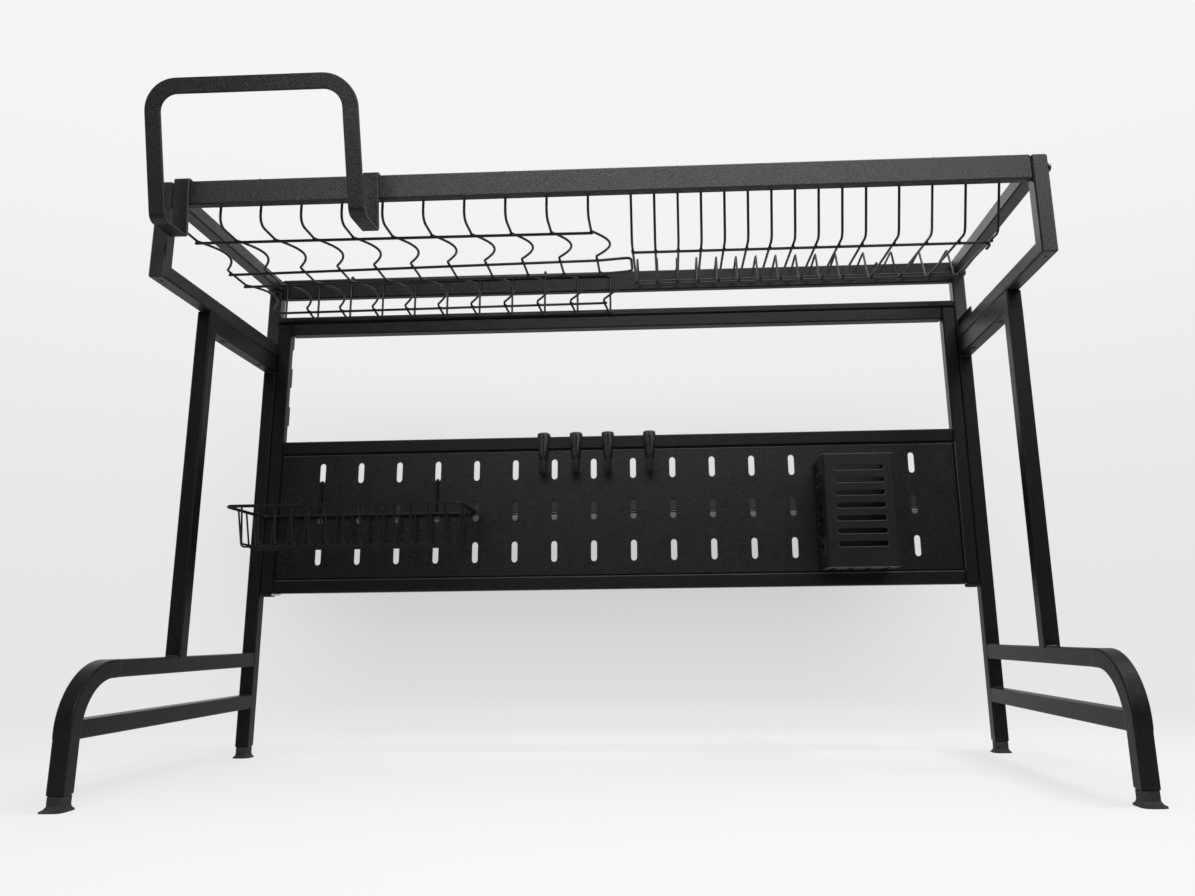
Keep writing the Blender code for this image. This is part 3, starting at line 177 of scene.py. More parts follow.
# Studio
FLOOR_NEAR = 0.905
FLOOR_FAR = 0.80
HORIZON = 0.795
SKY = 0.915
SHADE = 0.235                  # depth of the soft shadow on the backdrop behind the panel
ROOM_FRONT = 0.05
ROOM_BACK = 0.55
ROOM_TOP = 0.30
GLOW = 1.10                    # the pale wall in front that the board mirrors in its middle
LAMPS = (  # name, place, aim, width, height, watts
    ("key_box", (0.20, -1.50, 1.36), (0.05, -0.1, 0.50), 2.1, 0.52, 31),
    ("top_box", (0.35, 0.1, 2.3), (0.05, 0, 0.35), 2.7, 1.6, 17),
    ("back_box", (-0.7, 2.1, 1.5), (0, 0, 0.35), 1.4, 1.0, 6),
    ("left_box", (-2.3, -0.1, 1.1), (0, 0, 0.35), 1.2, 1.2, 7),
    ("right_box", (2.3, -0.1, 1.1), (0, 0, 0.35), 1.2, 1.2, 7),
    ("bend_box", (1.33, -0.27, 2.10), (0.42, -0.16, 0.1), 0.45, 0.45, 13),
)
CAMERA_TURN = (0.042, 0.2292, -0.0122)  # yaw, pitch, roll
CAMERA_PLACE = (0.06574, -0.83077 + PLACE_Y, 0.1298)
SENSOR = 36
LENS = 28.732
LENS_SHIFT = (-0.02665, -0.03093)


class Socket:
    """A value from a shader node; sums and products of it add Math nodes."""

    def __init__(self, surface, output):
        self.surface = surface
        self.output = output

    def math(self, operation, first, second):
        return self.surface.math(operation, first, second)

    def __add__(self, other):
        return self.math("ADD", self, other)

    def __radd__(self, other):
        return self.math("ADD", other, self)

    def __sub__(self, other):
        return self.math("SUBTRACT", self, other)

    def __rsub__(self, other):
        return self.math("SUBTRACT", other, self)

    def __mul__(self, other):
        return self.math("MULTIPLY", self, other)

    def __rmul__(self, other):
        return self.math("MULTIPLY", other, self)


class Surface:
    """A node tree of a material or the world, built from Python expressions."""

    def __init__(self, owner):
        owner.use_nodes = True
        self.owner = owner
        self.tree = owner.node_tree
        self.shader = self.tree.nodes.get("Principled BSDF") or self.tree.nodes.get("Background")

    def node(self, kind, settings=None, values=None, output=0):
        """Add a node: its settings first, then the values or links of its sockets."""
        made = self.tree.nodes.new(kind)
        for name, value in (settings or {}).items():
            if name == "stops":
                self.set_stops(made.color_ramp, value)
            else:
                setattr(made, name, value)
        for name, value in (values or {}).items():
            self.give(made.inputs[name], value)
        return Socket(self, made.outputs[output])

    def set_stops(self, ramp, stops):
        while len(ramp.elements) < len(stops):
            ramp.elements.new(1)
        for element, (place, level) in zip(ramp.elements, stops):
            element.position = place
            element.color = (level, level, level, 1)

    def give(self, entry, value):
        if isinstance(value, Socket):
            self.tree.links.new(value.output, entry)
        else:
            entry.default_value = value

    def put(self, name, value):
        self.give(self.shader.inputs[name], value)

    def place(self):
        return self.node("ShaderNodeTexCoord", output="Object")

    def noise(self, scale, detail=2, rough=0.5, at=None):
        values = {"Vector": at or self.place(), "Scale": scale, "Detail": detail,
                  "Roughness": rough}
        return self.node("ShaderNodeTexNoise", None, values)

    def ramp(self, value, *stops):
        return self.node("ShaderNodeValToRGB", {"stops": stops}, {"Fac": value})

    def math(self, operation, first, second=0):
        return self.node("ShaderNodeMath", {"operation": operation}, {0: first, 1: second})

    def ease(self, value, low, high, first=0, last=1):
        """Pass softly from one level to another while a value runs from low to high."""
        return self.node("ShaderNodeMapRange", {"interpolation_type": "SMOOTHSTEP"},
                         {"Value": value, "From Min": low, "From Max": high, "To Min": first,
                          "To Max": last})

    def tint(self, share, dark, light):
        """Mix two colours by a share from 0 to 1."""
        return self.node("ShaderNodeMix", {"data_type": "RGBA"},
                         {0: share, 6: (*dark, 1), 7: (*light, 1)}, output=2)

    def bump(self, height, depth, strength=1.0):
        """Raise the surface by a height from 0 to 1, times a depth in metres."""
        normal = self.node("ShaderNodeBump", None,
                           {"Height": height, "Distance": depth, "Strength": strength})
        self.put("Normal", normal)


def material(name):
    return Surface(bpy.data.materials.new(name))


def powder_coat(name, dark, light, rough, gloss, grain, depth):
    """Matte coat baked from powder: pale specks, soft waves and dusty patches."""
    coat = material(name)
    cloud = coat.noise(26, 3, 0.6)
    fine = coat.ramp(coat.noise(grain, 2, 0.7), (0.30, 0), (0.70, 1))
    speck = coat.ramp(coat.noise(grain * 0.55, 1, 0.5), (0.54, 0), (0.68, 1))
    coat.put("Base Color", coat.tint(cloud * 0.20 + speck * 0.40 + fine * 0.40, dark, light))
    coat.put("Roughness", rough - 0.09 + cloud * 0.06 + fine * 0.12)
    coat.put("Specular IOR Level", gloss)
    coat.bump(fine * 0.7 + coat.noise(grain / 5, 2, 0.5) * 0.6, depth, 0.8)
    return coat.owner


def wire_coat(name, gloss):
    """Dipped coat on wire: smoother, a little glossier, thicker here and there."""
    coat = material(name)
    waves = coat.noise(160, 2, 0.5)
    coat.put("Base Color", coat.tint(waves, (0.0030, 0.0030, 0.0032), (0.008, 0.008, 0.0083)))
    coat.put("Roughness", 0.36 + waves * 0.12)
    coat.put("Specular IOR Level", gloss)
    coat.bump(waves, 0.00015, 0.5)
    return coat.owner


def foot_rubber():
    """Dull rubber with a bloom of dust and fine pits."""
    rubber = material("foot_rubber")
    dust = rubber.noise(90, 4, 0.65)
    rubber.put("Base Color", rubber.tint(rubber.ramp(dust, (0.42, 0), (0.72, 1)),
                                         (0.010, 0.010, 0.010), (0.034, 0.033, 0.031)))
    rubber.put("Roughness", 0.66 + dust * 0.18)
    rubber.put("Specular IOR Level", 0.35)
    rubber.bump(rubber.noise(1500, 2, 0.6), 0.00012, 0.6)
    return rubber.owner


def hook_plastic(name, light, gloss):
    """Spark-textured moulding, painted darker towards the hook's stem and crook as the shade under
    the fluted body, and rougher there.
    """
    plastic = material(name)
    grain = plastic.noise(1400, 2, 0.7)
    haze = plastic.noise(40, 3, 0.6)
    height = plastic.node("ShaderNodeSeparateXYZ", None, {0: plastic.place()}, output="Z")
    # painted shade: the colour darkens below the fluted body, where the stem lies in its shadow;
    # the upper body is also glossier
    upper_lit_and_glossy = plastic.ramp(height * 10 - 3.1, (0.10, 0.15), (0.32, 1))
    plastic.put("Base Color", plastic.tint((haze * 0.5 + grain * 0.5) * upper_lit_and_glossy,
                                           (0.0015, 0.0015, 0.0017), (light, light, light)))
    plastic.put("Roughness", 0.72 + grain * 0.10 + haze * 0.06 - upper_lit_and_glossy * 0.42)
    plastic.put("Specular IOR Level", gloss)
    plastic.bump(grain, 0.00010, 0.6)
    return plastic.owner


def box_plastic(name, light, gloss):
    """Spark-textured moulding of the cutlery box."""
    plastic = material(name)
    grain = plastic.noise(1400, 2, 0.7)
    haze = plastic.noise(40, 3, 0.6)
    plastic.put("Base Color", plastic.tint(haze * 0.5 + grain * 0.5, (0.0010, 0.0010, 0.0012),
                                           (light, light, light)))
    plastic.put("Roughness", 0.30 + grain * 0.10 + haze * 0.06)
    plastic.put("Specular IOR Level", gloss)
    plastic.bump(grain, 0.00010, 0.6)
    return plastic.owner


def painted_highlight_edge(name, dark, light):
    """Pale edge coat: its lightness is a painted highlight on edges and lips that face the light,
    and its noise adds uneven, worn tone.
    """
    coat = material(name)
    wear_and_sheen = coat.noise(420, 3, 0.6)
    coat.put("Base Color", coat.tint(wear_and_sheen, dark, light))
    coat.put("Roughness", 0.34 + wear_and_sheen * 0.16)
    coat.put("Specular IOR Level", 0.45)
    coat.bump(wear_and_sheen, 0.00010, 0.5)
    return coat.owner


def seam_painted_shadow():
    """Painted shadow: a near-black matt strip that stands for the shade in a seam's gap."""
    shadow_strip = material("seam_painted_shadow")
    speckle = shadow_strip.noise(1800, 2, 0.6)
    shadow_strip.put("Base Color", shadow_strip.tint(speckle, (0.0006, 0.0006, 0.0006), (0.0030, 0.0030, 0.0030)))
    shadow_strip.put("Roughness", 0.86 + speckle * 0.10)
    shadow_strip.put("Specular IOR Level", 0.05)
    shadow_strip.bump(speckle, 0.00020, 0.7)
    return shadow_strip.owner


def grey_sheet():
    """Mid-grey sheet, blotched with a lighter grey."""
    sheet = material("grey_sheet_strip")
    blotch = sheet.noise(700, 3, 0.65)
    sheet.put("Base Color", sheet.tint(blotch, (0.070, 0.070, 0.071), (0.150, 0.150, 0.151)))
    sheet.put("Roughness", 0.55 + blotch * 0.2)
    sheet.put("Specular IOR Level", 0.3)
    sheet.bump(blotch, 0.00010, 0.5)
    return sheet.owner


def dark_bolt():
    """Blackened steel, rubbed brighter in patches."""
    steel = material("dark_bolt_steel")
    rub = steel.noise(600, 3, 0.6)
    steel.put("Base Color", steel.tint(steel.ramp(rub, (0.45, 0), (0.75, 1)), (0.030, 0.030, 0.032),
                                       (0.16, 0.16, 0.165)))
    steel.put("Metallic", 0.85)
    steel.put("Roughness", 0.34 + rub * 0.16)
    steel.bump(rub, 0.00006, 0.5)
    return steel.owner


def bright_screw():
    """Zinc-plated steel."""
    steel = material("zinc_screw_steel")
    rub = steel.noise(900, 3, 0.6)
    steel.put("Base Color", steel.tint(rub, (0.42, 0.42, 0.43), (0.70, 0.70, 0.70)))
    steel.put("Metallic", 1.0)
    steel.put("Roughness", 0.26 + rub * 0.16)
    steel.bump(rub, 0.00005, 0.5)
    return steel.owner


TUBE_COAT = powder_coat("tube_powder_coat", (0.0020, 0.0020, 0.0022), (0.0190, 0.0190, 0.0194),
                        0.40, 0.32, 900, 0.00022)
LEG_COAT = powder_coat("leg_powder_coat", (0.0018, 0.0018, 0.0020), (0.0120, 0.0120, 0.0124),
                       0.34, 0.12, 850, 0.00022)
PANEL_COAT = powder_coat("panel_powder_coat", (0.0012, 0.0012, 0.0013), (0.0110, 0.0110, 0.0113),
                         0.34, 0.14, 660, 0.00025)
SHEET_COAT = powder_coat("sheet_powder_coat", (0.0010, 0.0010, 0.0011), (0.0120, 0.0120, 0.0123),
                         0.30, 0.22, 700, 0.00018)
WIRE_COAT = wire_coat("dipped_wire_coat", 0.30)
BASKET_COAT = wire_coat("basket_wire_coat", 0.12)
RUBBER = foot_rubber()
HOOK_PLASTIC = hook_plastic("hook_moulding", 0.014, 0.32)
BOX_PLASTIC = box_plastic("cutlery_box_moulding", 0.009, 0.20)
# pale coat on lips, slot rims and the box's mouth: painted highlight
EDGE_HIGHLIGHT_COAT = painted_highlight_edge("edge_painted_highlight_coat", (0.012, 0.012, 0.0123), (0.036, 0.036, 0.0363))
# paler still: painted highlight along the rear crossbar's lower edge
CUT_EDGE_HIGHLIGHT = painted_highlight_edge("cut_edge_painted_highlight", (0.10, 0.10, 0.10), (0.22, 0.22, 0.22))
# near-black strips: painted shadow in the board's seams
SEAM_PAINTED_SHADOW = seam_painted_shadow()
GREY_SHEET = grey_sheet()
BOLT_STEEL = dark_bolt()
SCREW_STEEL = bright_screw()


def finish_for(node):
    if node.startswith("foot_"):
        return RUBBER
    if "bolt" in node:
        return BOLT_STEEL
    if node == "wire_basket":
        return BASKET_COAT
    if node == "bowl_rack" or node.startswith("plate_"):
        return WIRE_COAT
    if "hook" in node or "plug" in node:
        return HOOK_PLASTIC
    if node == "cutlery_box":
        return BOX_PLASTIC
    if node in ("peg_board", "corner_bracket_right"):
        return SHEET_COAT
    if node.startswith("panel_"):
        return PANEL_COAT
    if node.startswith("leg_") or node == "back_top_bar":
        return LEG_COAT
    return TUBE_COAT


def dress_frame():
    """Give every carried-over piece its finish."""
    for name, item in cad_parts.items():
        item.data.materials.clear()
        item.data.materials.append(finish_for(name))


def at(x, y, z):
    """A point of the rack's own layout, in the scene."""
    return Vector((x, y + PLACE_Y, z))


def piece(name, bm, finish, body):
    """Turn a bmesh into a piece that rides on a body."""
    bmesh.ops.recalc_face_normals(bm, faces=bm.faces[:])
    mesh = bpy.data.meshes.new(name)
    bm.to_mesh(mesh)
    bm.free()
    mesh.shade_smooth()
    mesh.set_sharp_from_angle(angle=math.radians(50))
    mesh.materials.append(finish)
    item = bpy.data.objects.new(name, mesh)
    bpy.context.collection.objects.link(item)
    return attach(item, body)


def skin(bm, rings):
    """Join rings of points into a tube and close both its ends."""
    for first, second in zip(rings, rings[1:]):
        for number in range(len(first)):
            on = (number + 1) % len(first)
            bm.faces.new((first[number], first[on], second[on], second[number]))
    bm.faces.new(rings[0][::-1])
    bm.faces.new(rings[-1])


def way_at(path, number):
    """The way that a path runs at one of its points."""
    return (path[min(len(path) - 1, number + 1)] - path[max(0, number - 1)]).normalized()


def bead(bm, start, end, out, size):
    """A weld bead in an inner corner: a low rope of overlapping lumps."""
    run = end - start
    way = run.normalized()
    side = way.cross(out).normalized()
    count = max(6, round(run.length / 0.0009))
    rings = []
    for step in range(count + 1):
        share = step / count
        swell = 0.80 + 0.20 * abs(math.sin(share * count * 1.1)) + 0.08 * math.sin(step * 2.3)
        swell *= min(1, 0.35 + 3 * min(share, 1 - share))
        centre = start + run * share
        ring = []
        for turn in (-1.2, -0.6, 0, 0.6, 1.2):
            radius = size * swell
            spot = centre + out * (math.cos(turn) * radius) + side * (math.sin(turn) * radius)
            ring.append(bm.verts.new(spot))
        ring.append(bm.verts.new(centre - out * (size * 0.5)))
        rings.append(ring)
    skin(bm, rings)


def rib(bm, path, out, radius, rise=1.0):
    """A half-round rib along a path: it stands out of the face by its radius."""
    rings = []
    for number, point in enumerate(path):
        side = way_at(path, number).cross(out).normalized()
        ends = number in (0, len(path) - 1)
        size = radius * (0.35 if ends else 1)
        ring = []
        for turn in (-1.571, -1.047, -0.524, 0, 0.524, 1.047, 1.571):
            spot = point + out * (math.cos(turn) * size * rise) + side * (math.sin(turn) * size)
            ring.append(bm.verts.new(spot))
        ring.append(bm.verts.new(point - out * (radius * 0.4)))
        rings.append(ring)
    skin(bm, rings)


def straight(start, end, blunt=0.0006):
    """A straight path with blunt ends, for a rib."""
    way = (end - start).normalized()
    return [start, start + way * blunt, end - way * blunt, end]


def nugget(bm, point, reach, tall, seed):
    """A weld nugget: a small lump, flattened and a little uneven."""
    made = bmesh.ops.create_icosphere(bm, subdivisions=2, radius=1)["verts"]
    for vert in made:
        x, y, z = vert.co
        uneven = (1 + 0.10 * math.sin(5 * x + seed) + 0.08 * math.sin(7 * y - 2 * seed)
                  + 0.06 * math.sin(6 * z + seed))
        vert.co = Vector((x * reach * uneven, y * reach * uneven, z * tall * uneven)) + point


def bowl_welds():
    """Nuggets where the bowl rack's wavy wires cross its rails."""
    bm = bmesh.new()
    below = WIRE / 2
    for count in range(BOWL_WIRES):
        x = BOWL_START + BOWL_PITCH * count
        places = [(x, y, z - below) for y, z in bowl_stations(x)]
        places += [(x + BACK_STEP, RACK_BACK - below, BOWL_BACK_Z + RAIL_WIRE),
                   (x, RACK_FRONT + below, RIM_Z - WIRE),
                   (x + BACK_STEP, RACK_BACK - below, BACK_RIM_Z)]
        for number, place in enumerate(places):
            nugget(bm, at(*place), 0.00185, 0.00135, count * 3.1 + number)
    piece("bowl_rack_welds", bm, WIRE_COAT, "bowl_rack")


def plate_wire_places():
    places = [PLATE_LEFT + PLATE_PITCH * count for count in range(PLATE_CLOSE)]
    wide = [places[-1] + PLATE_PITCH * PLATE_WIDE_SHARE * (count + 1)
            for count in range(PLATE_WIDE)]
    return places + wide


def plate_welds():
    """Nuggets where the plate wires cross the front, rear and rim rails."""
    bm = bmesh.new()
    drop = WIRE / 2 + SEAT / 2
    front_y = RACK_FRONT + PLATE_LEAN
    rear_y = RACK_FRONT + RACK_SPAN * PLATE_REAR_SHARE
    places = []
    for share in PLATE_RAIL_SHARES:
        y = RACK_FRONT + RACK_SPAN * share
        places.append((y, PLATE_LOW + PLATE_RISE * (y - front_y) / (rear_y - front_y) - drop))
    places.append((RACK_FRONT + WIRE * 0.36 + drop, RIM_Z - WIRE))
    for count, x in enumerate(plate_wire_places()):
        for number, (y, z) in enumerate(places):
            nugget(bm, at(x, y, z), 0.00175, 0.00140, count * 2.3 + number)
    piece("plate_rack_welds", bm, WIRE_COAT, "plate_rack")


def basket_welds():
    """Nuggets at the basket's rim and floor."""
    bm = bmesh.new()
    for count in range(BASKET_WIRES):
        x = BASKET_X + (BASKET_HALF_X - BASKET_END_GAP) * (2 * count / (BASKET_WIRES - 1) - 1)
        for side in (-1, 1):
            nugget(bm, at(x, BASKET_MIDDLE + side * (BASKET_HALF_Y - 0.0016), BASKET_RIM - 0.0004),
                   0.0016, 0.0013, count + side)
        for line in (-1, 0, 1):
            y = BASKET_MIDDLE + line * (BASKET_HALF_Y - BASKET_SIDE_GAP)
            nugget(bm, at(x, y, BASKET_LOW - 0.0009), 0.0015, 0.0011, count * 1.7 + line)
    piece("wire_basket_welds", bm, BASKET_COAT, "wire_basket")


def board_seams():
    """Painted-shadow strips and rolled lips along each edge of the slotted board: the near-black
    strips stand for the shade in each seam, and the lips' pale coat is a painted highlight on edges
    that face the light.
    """
    ahead = Vector((0, -1, 0))
    shadow_strip = bmesh.new()
    highlight_lip = bmesh.new()
    reach = SPAN_X - 0.0008
    face = BOARD_Y + 0.0001
    shadow_strip_size = (0.00085, 0.45)
    rows = [(shadow_strip, BOARD_TOP - 0.0008, face, shadow_strip_size),
            (highlight_lip, BOARD_TOP - 0.0022, face, (0.00055, 0.9)),
            (shadow_strip, BOARD_LOW + 0.0009, face, shadow_strip_size),
            (highlight_lip, LOW_BAR_TOP - 0.0007, BACK_Y, (0.00050, 0.8))]
    columns = [(shadow_strip, -SPAN_X + 0.0009, face, shadow_strip_size),
               (shadow_strip, SPAN_X - 0.0009, face, shadow_strip_size),
               (highlight_lip, RAIL_IN_X + 0.0008, BACK_Y, (0.00045, 0.8))]
    for bm, z, y, size in rows:
        rib(bm, straight(at(-reach, y, z), at(reach, y, z)), ahead, *size)
    for bm, x, y, size in columns:
        rib(bm, straight(at(x, y, BOARD_LOW), at(x, y, BOARD_TOP)), ahead, *size)
    piece("board_seam_painted_shadow", shadow_strip, SEAM_PAINTED_SHADOW, "frame")
    # pale lips: painted highlight on the board's edges that face the light
    piece("board_lips_painted_highlight", highlight_lip, EDGE_HIGHLIGHT_COAT, "frame")


def crossbar_flange():
    """Thin flange under the rear crossbar, seen through the middle slots, with a pale rib along the
    crossbar's lower edge as a painted highlight and a grey strip on the flange's front.
    """
    bar_low, bar_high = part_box("rear_crossbar")
    front = bar_low[1] - PLACE_Y
    edge = bar_low[2]
    reach = SPAN_X - 0.004
    bm = bmesh.new()
    out = Vector((0, -1, -0.35)).normalized()
    # painted highlight: a pale rib for the light line along the crossbar's lower edge
    rib(bm, straight(at(-reach, front, edge), at(reach, front, edge)), out, 0.00030)
    piece("crossbar_edge_painted_highlight", bm, CUT_EDGE_HIGHLIGHT, "frame")
    flange = [(0.0002, -0.0016), (0.0008, -0.0012), (0.0112, -0.0012), (0.0112, -0.0004),
              (0.0012, -0.0004), (0.0012, -0.0140), (0.0002, -0.0140)]
    grey_strip = [(0, -0.0021), (0.0001, -0.0020), (0.0001, -0.0136), (0, -0.0135)]
    for name, outline, finish in (("crossbar_flange", flange, PANEL_COAT),
                                  ("crossbar_grey_strip", grey_strip, GREY_SHEET)):
        bm = bmesh.new()
        ends = []
        for x in (-reach, reach):
            ends.append([bm.verts.new(at(x, front + back, edge + rise)) for back, rise in outline])
        skin(bm, ends)
        piece(name, bm, finish, "frame")


def turned(corners, steps=6):
    """Points of a path whose corners, given with a radius each, are bent round."""
    points = [Vector(place) for place, radius in corners]
    path = [points[0]]
    for number in range(1, len(corners) - 1):
        radius = corners[number][1]
        corner = points[number]
        back = (points[number - 1] - corner).normalized()
        on = (points[number + 1] - corner).normalized()
        turn = math.pi - back.angle(on)
        if not radius or turn < 0.02:
            path.append(corner)
            continue
        cut = min(radius * math.tan(turn / 2), 0.49 * (points[number - 1] - corner).length,
                  0.49 * (points[number + 1] - corner).length)  # the bends never meet
        for step in range(steps + 1):
            share = step / steps
            path.append(corner + back * (cut * (1 - share) ** 2) + on * (cut * share ** 2))
    return path + [points[-1]]


def draw_wire(bm, path, diameter, sides=9):
    """Sweep a round wire along a path, with its ends rounded off."""
    ways = [way_at(path, number) for number in range(len(path))]
    side = ways[0].orthogonal().normalized()
    rings = []
    tip = diameter * 0.35
    stations = [(path[0] - ways[0] * tip, ways[0], 0.45)]
    stations += [(point, way, 1) for point, way in zip(path, ways)]
    stations.append((path[-1] + ways[-1] * tip, ways[-1], 0.45))
    for point, way, size in stations:
        side = (side - way * side.dot(way)).normalized()
        over = way.cross(side)
        ring = []
        for count in range(sides):
            turn = math.tau * count / sides
            out = side * math.cos(turn) + over * math.sin(turn)
            ring.append(bm.verts.new(point + out * (diameter / 2 * size)))
        rings.append(ring)
    skin(bm, rings)


def wave(start, end, reach, skew, x):
    """A sideways bulge of a bowl wire, in many small steps."""
    def between(share):
        return start[0] + (end[0] - start[0]) * share, start[1] + (end[1] - start[1]) * share

    points = []
    for count in range(1, BULGE_STEPS):
        share = count / BULGE_STEPS * BULGE_RUN
        across = reach * math.sin(math.pi * (share / BULGE_RUN) ** skew)
        points.append(((x + across, *between(share)), 0.002))
    points.append(((x - 0.0002, *between(BULGE_RUN)), 0.006))
    return points


def bow(x, low, high):
    """How far a rail of the bowl rack is bowed up at a place along it."""
    share = (x - BOWL_START) / (-BOWL_END - BOWL_START)
    return low + (high - low) * share


def bowl_stations(x):
    """Places (y, z) of the rails A, B, C and D under the wire at x."""
    bows = [bow(x, low, high) for low, high in BOWL_BOWS]
    return [(RACK_FRONT + RACK_SPAN * share, BOWL_FLOOR_Z - dip + lift)
            for share, dip, lift in zip(BOWL_SHARES, BOWL_DIPS, bows)]


def bowl_wires():
    """The bowl rack's wires again, drawn finer: bends of the real, smooth kind."""
    bm = bmesh.new()
    hook_z = RACK_TOP + SEAT + WIRE / 2
    lap = 0.0070 + WIRE / 2 + SEAT
    for count in range(BOWL_WIRES):
        x = BOWL_START + BOWL_PITCH * count
        a, b, c, d = bowl_stations(x)
        rear = x + BACK_STEP
        hooked = count in BOWL_HOOKED
        corners = [((x, RACK_FRONT, RIM_Z), 0)]
        if hooked:
            corners = [((x, RACK_FRONT - lap, hook_z), 0), ((x, RACK_FRONT, hook_z), HOOK_BEND)]
        corners += [((x, RACK_FRONT, a[1]), 0.012), ((x, *a), 0.002)]
        corners += wave(a, b, FRONT_BULGE, 1, x) + [((x, *b), 0.0022), ((x, *c), 0.0022)]
        corners += wave(c, d, REAR_BULGE, BULGE_SKEW, x)
        corners += [((x - 0.0020, *d), 0.0075), ((rear, RACK_BACK, BOWL_BACK_Z), 0.0028)]
        if hooked:
            corners += [((rear, RACK_BACK, hook_z), HOOK_BEND),
                        ((rear, RACK_BACK + lap, hook_z), 0)]
        else:
            corners.append(((rear, RACK_BACK, BACK_RIM_Z + WIRE), 0))
        draw_wire(bm, [at(*point) for point in turned(corners)], WIRE)
    under = (WIRE + RAIL_WIRE) / 2 - 0.0005
    left = BOWL_START - WIRE / 2
    right = WIRE / 2 - BOWL_END
    rails = []
    for first, last in zip(bowl_stations(left), bowl_stations(right)):
        rails.append([((left, first[0], first[1] - under), 0),
                      ((right, last[0], last[1] - under), 0.03)])
    tip = LOOP_TIP - BOWL_END
    bends = []
    for rail in rails[1:3]:
        _, y, z = rail[1][0]
        bends.append(((tip, y, z + LOOP_RISE), LOOP_BEND))
    for rail in (rails[0], rails[3], rails[1] + bends + rails[2][::-1]):
        draw_wire(bm, [at(*point) for point in turned(rail)], RAIL_WIRE)
    for y, z, end in ((RACK_BACK - under, BOWL_BACK_Z + RAIL_WIRE, right + BACK_STEP),
                      (RACK_FRONT + under, RIM_Z - WIRE, right),
                      (RACK_BACK - under, BACK_RIM_Z, right + BACK_STEP)):
        draw_wire(bm, [at(left, y, z), at((left + end) / 2, y, z), at(end, y, z)], RAIL_WIRE)
    rack = piece("bowl_rack_wires", bm, WIRE_COAT, "bowl_rack")
    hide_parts("bowl_rack")


def box_rims():
    """Raised lower rims under the box's front slots, and a bead round its mouth; their pale coat is
    a painted highlight on edges lit from above.
    """
    bm = bmesh.new()
    ahead = Vector((0, -1, 0))
    half = BOX_SLOT_HEIGHT / 2
    run = BOX_SLOT_REACH - half
    over = 0.35                # radians that each rim runs past its slot's end
    for count in range(BOX_SLOTS):
        z = BOX_FIRST_SLOT - BOX_SLOT_PITCH * count
        path = []
        for centre, first in ((BOX_X - run, math.pi - over), (BOX_X + run, 1.5 * math.pi)):
            for step in range(7):
                turn = first + step / 6 * (math.pi / 2 + over)
                x = centre + half * math.cos(turn)
                path.append(at(x, BOX_FRONT, z + half * math.sin(turn)))
        rib(bm, path, ahead, 0.00042)
    piece("cutlery_box_slot_rims", bm, EDGE_HIGHLIGHT_COAT, "cutlery_box")
    bm = bmesh.new()
    path = []
    middle = (BOX_FRONT + BOX_BACK) / 2
    half_y = (BOX_BACK - BOX_FRONT) / 2 - BOX_WALL_MIDDLE
    half_x = BOX_HALF_X - BOX_WALL_MIDDLE
    for quarter, (sx, sy) in enumerate(((-1, 1), (-1, -1), (1, -1), (1, 1))):
        for step in range(5):
            turn = math.pi / 2 * (quarter + 1 + step / 4)
            path.append(at(BOX_X + sx * (half_x - BOX_CORNER) + BOX_CORNER * math.cos(turn),
                           middle + sy * (half_y - BOX_CORNER) + BOX_CORNER * math.sin(turn),
                           BOX_TOP))
    rib(bm, path, Vector((0, 0, 1)), 0.00075)
    piece("cutlery_box_mouth_bead", bm, EDGE_HIGHLIGHT_COAT, "cutlery_box")


def leg_welds(side, name):
    """Beads where a leg frame's tubes meet."""
    bm = bmesh.new()
    x_low, x_high = sorted((side * (POST_X - TUBE / 2 + WELD_INSET),
                            side * (POST_X + TUBE / 2 - WELD_INSET)))
    back = Vector((0, -1, 0))
    up = Vector((0, 0, 1))
    places = [
        (BACK_Y, FOOT_RAIL_TOP, (back + up).normalized()),
        (BACK_Y, BRACE_LOW + TUBE, (back + up).normalized()),
        (BACK_Y, BRACE_LOW, (back - up).normalized()),
        (BACK_Y, FOOT_RAIL_TOP - TUBE, (back - up).normalized()),
        (FRONT_FOOT + TUBE / 2, BRACE_LOW + TUBE, (up - back).normalized()),
        (FRONT_FOOT + TUBE / 2, BRACE_LOW, (-up - back).normalized()),
        (FRONT_LEG, FOOT_RAIL_TOP, (back + up).normalized()),
        (FRONT_LEG + TUBE, FOOT_RAIL_TOP, (up - back).normalized()),
        (FRONT_LEG + TUBE, LEG_TOP - LEG_BAR, (-up - back).normalized()),
        (BACK_Y, LEG_TOP - LEG_BAR, (back - up).normalized()),
    ]
    for y, z, out in places:
        size = LEG_FOOT_WELD if z == FOOT_RAIL_TOP and y < BACK_Y else WELD
        bead(bm, at(x_low, y, z), at(x_high, y, z), out, size)
    piece("leg_welds_" + name, bm, TUBE_COAT, "frame")


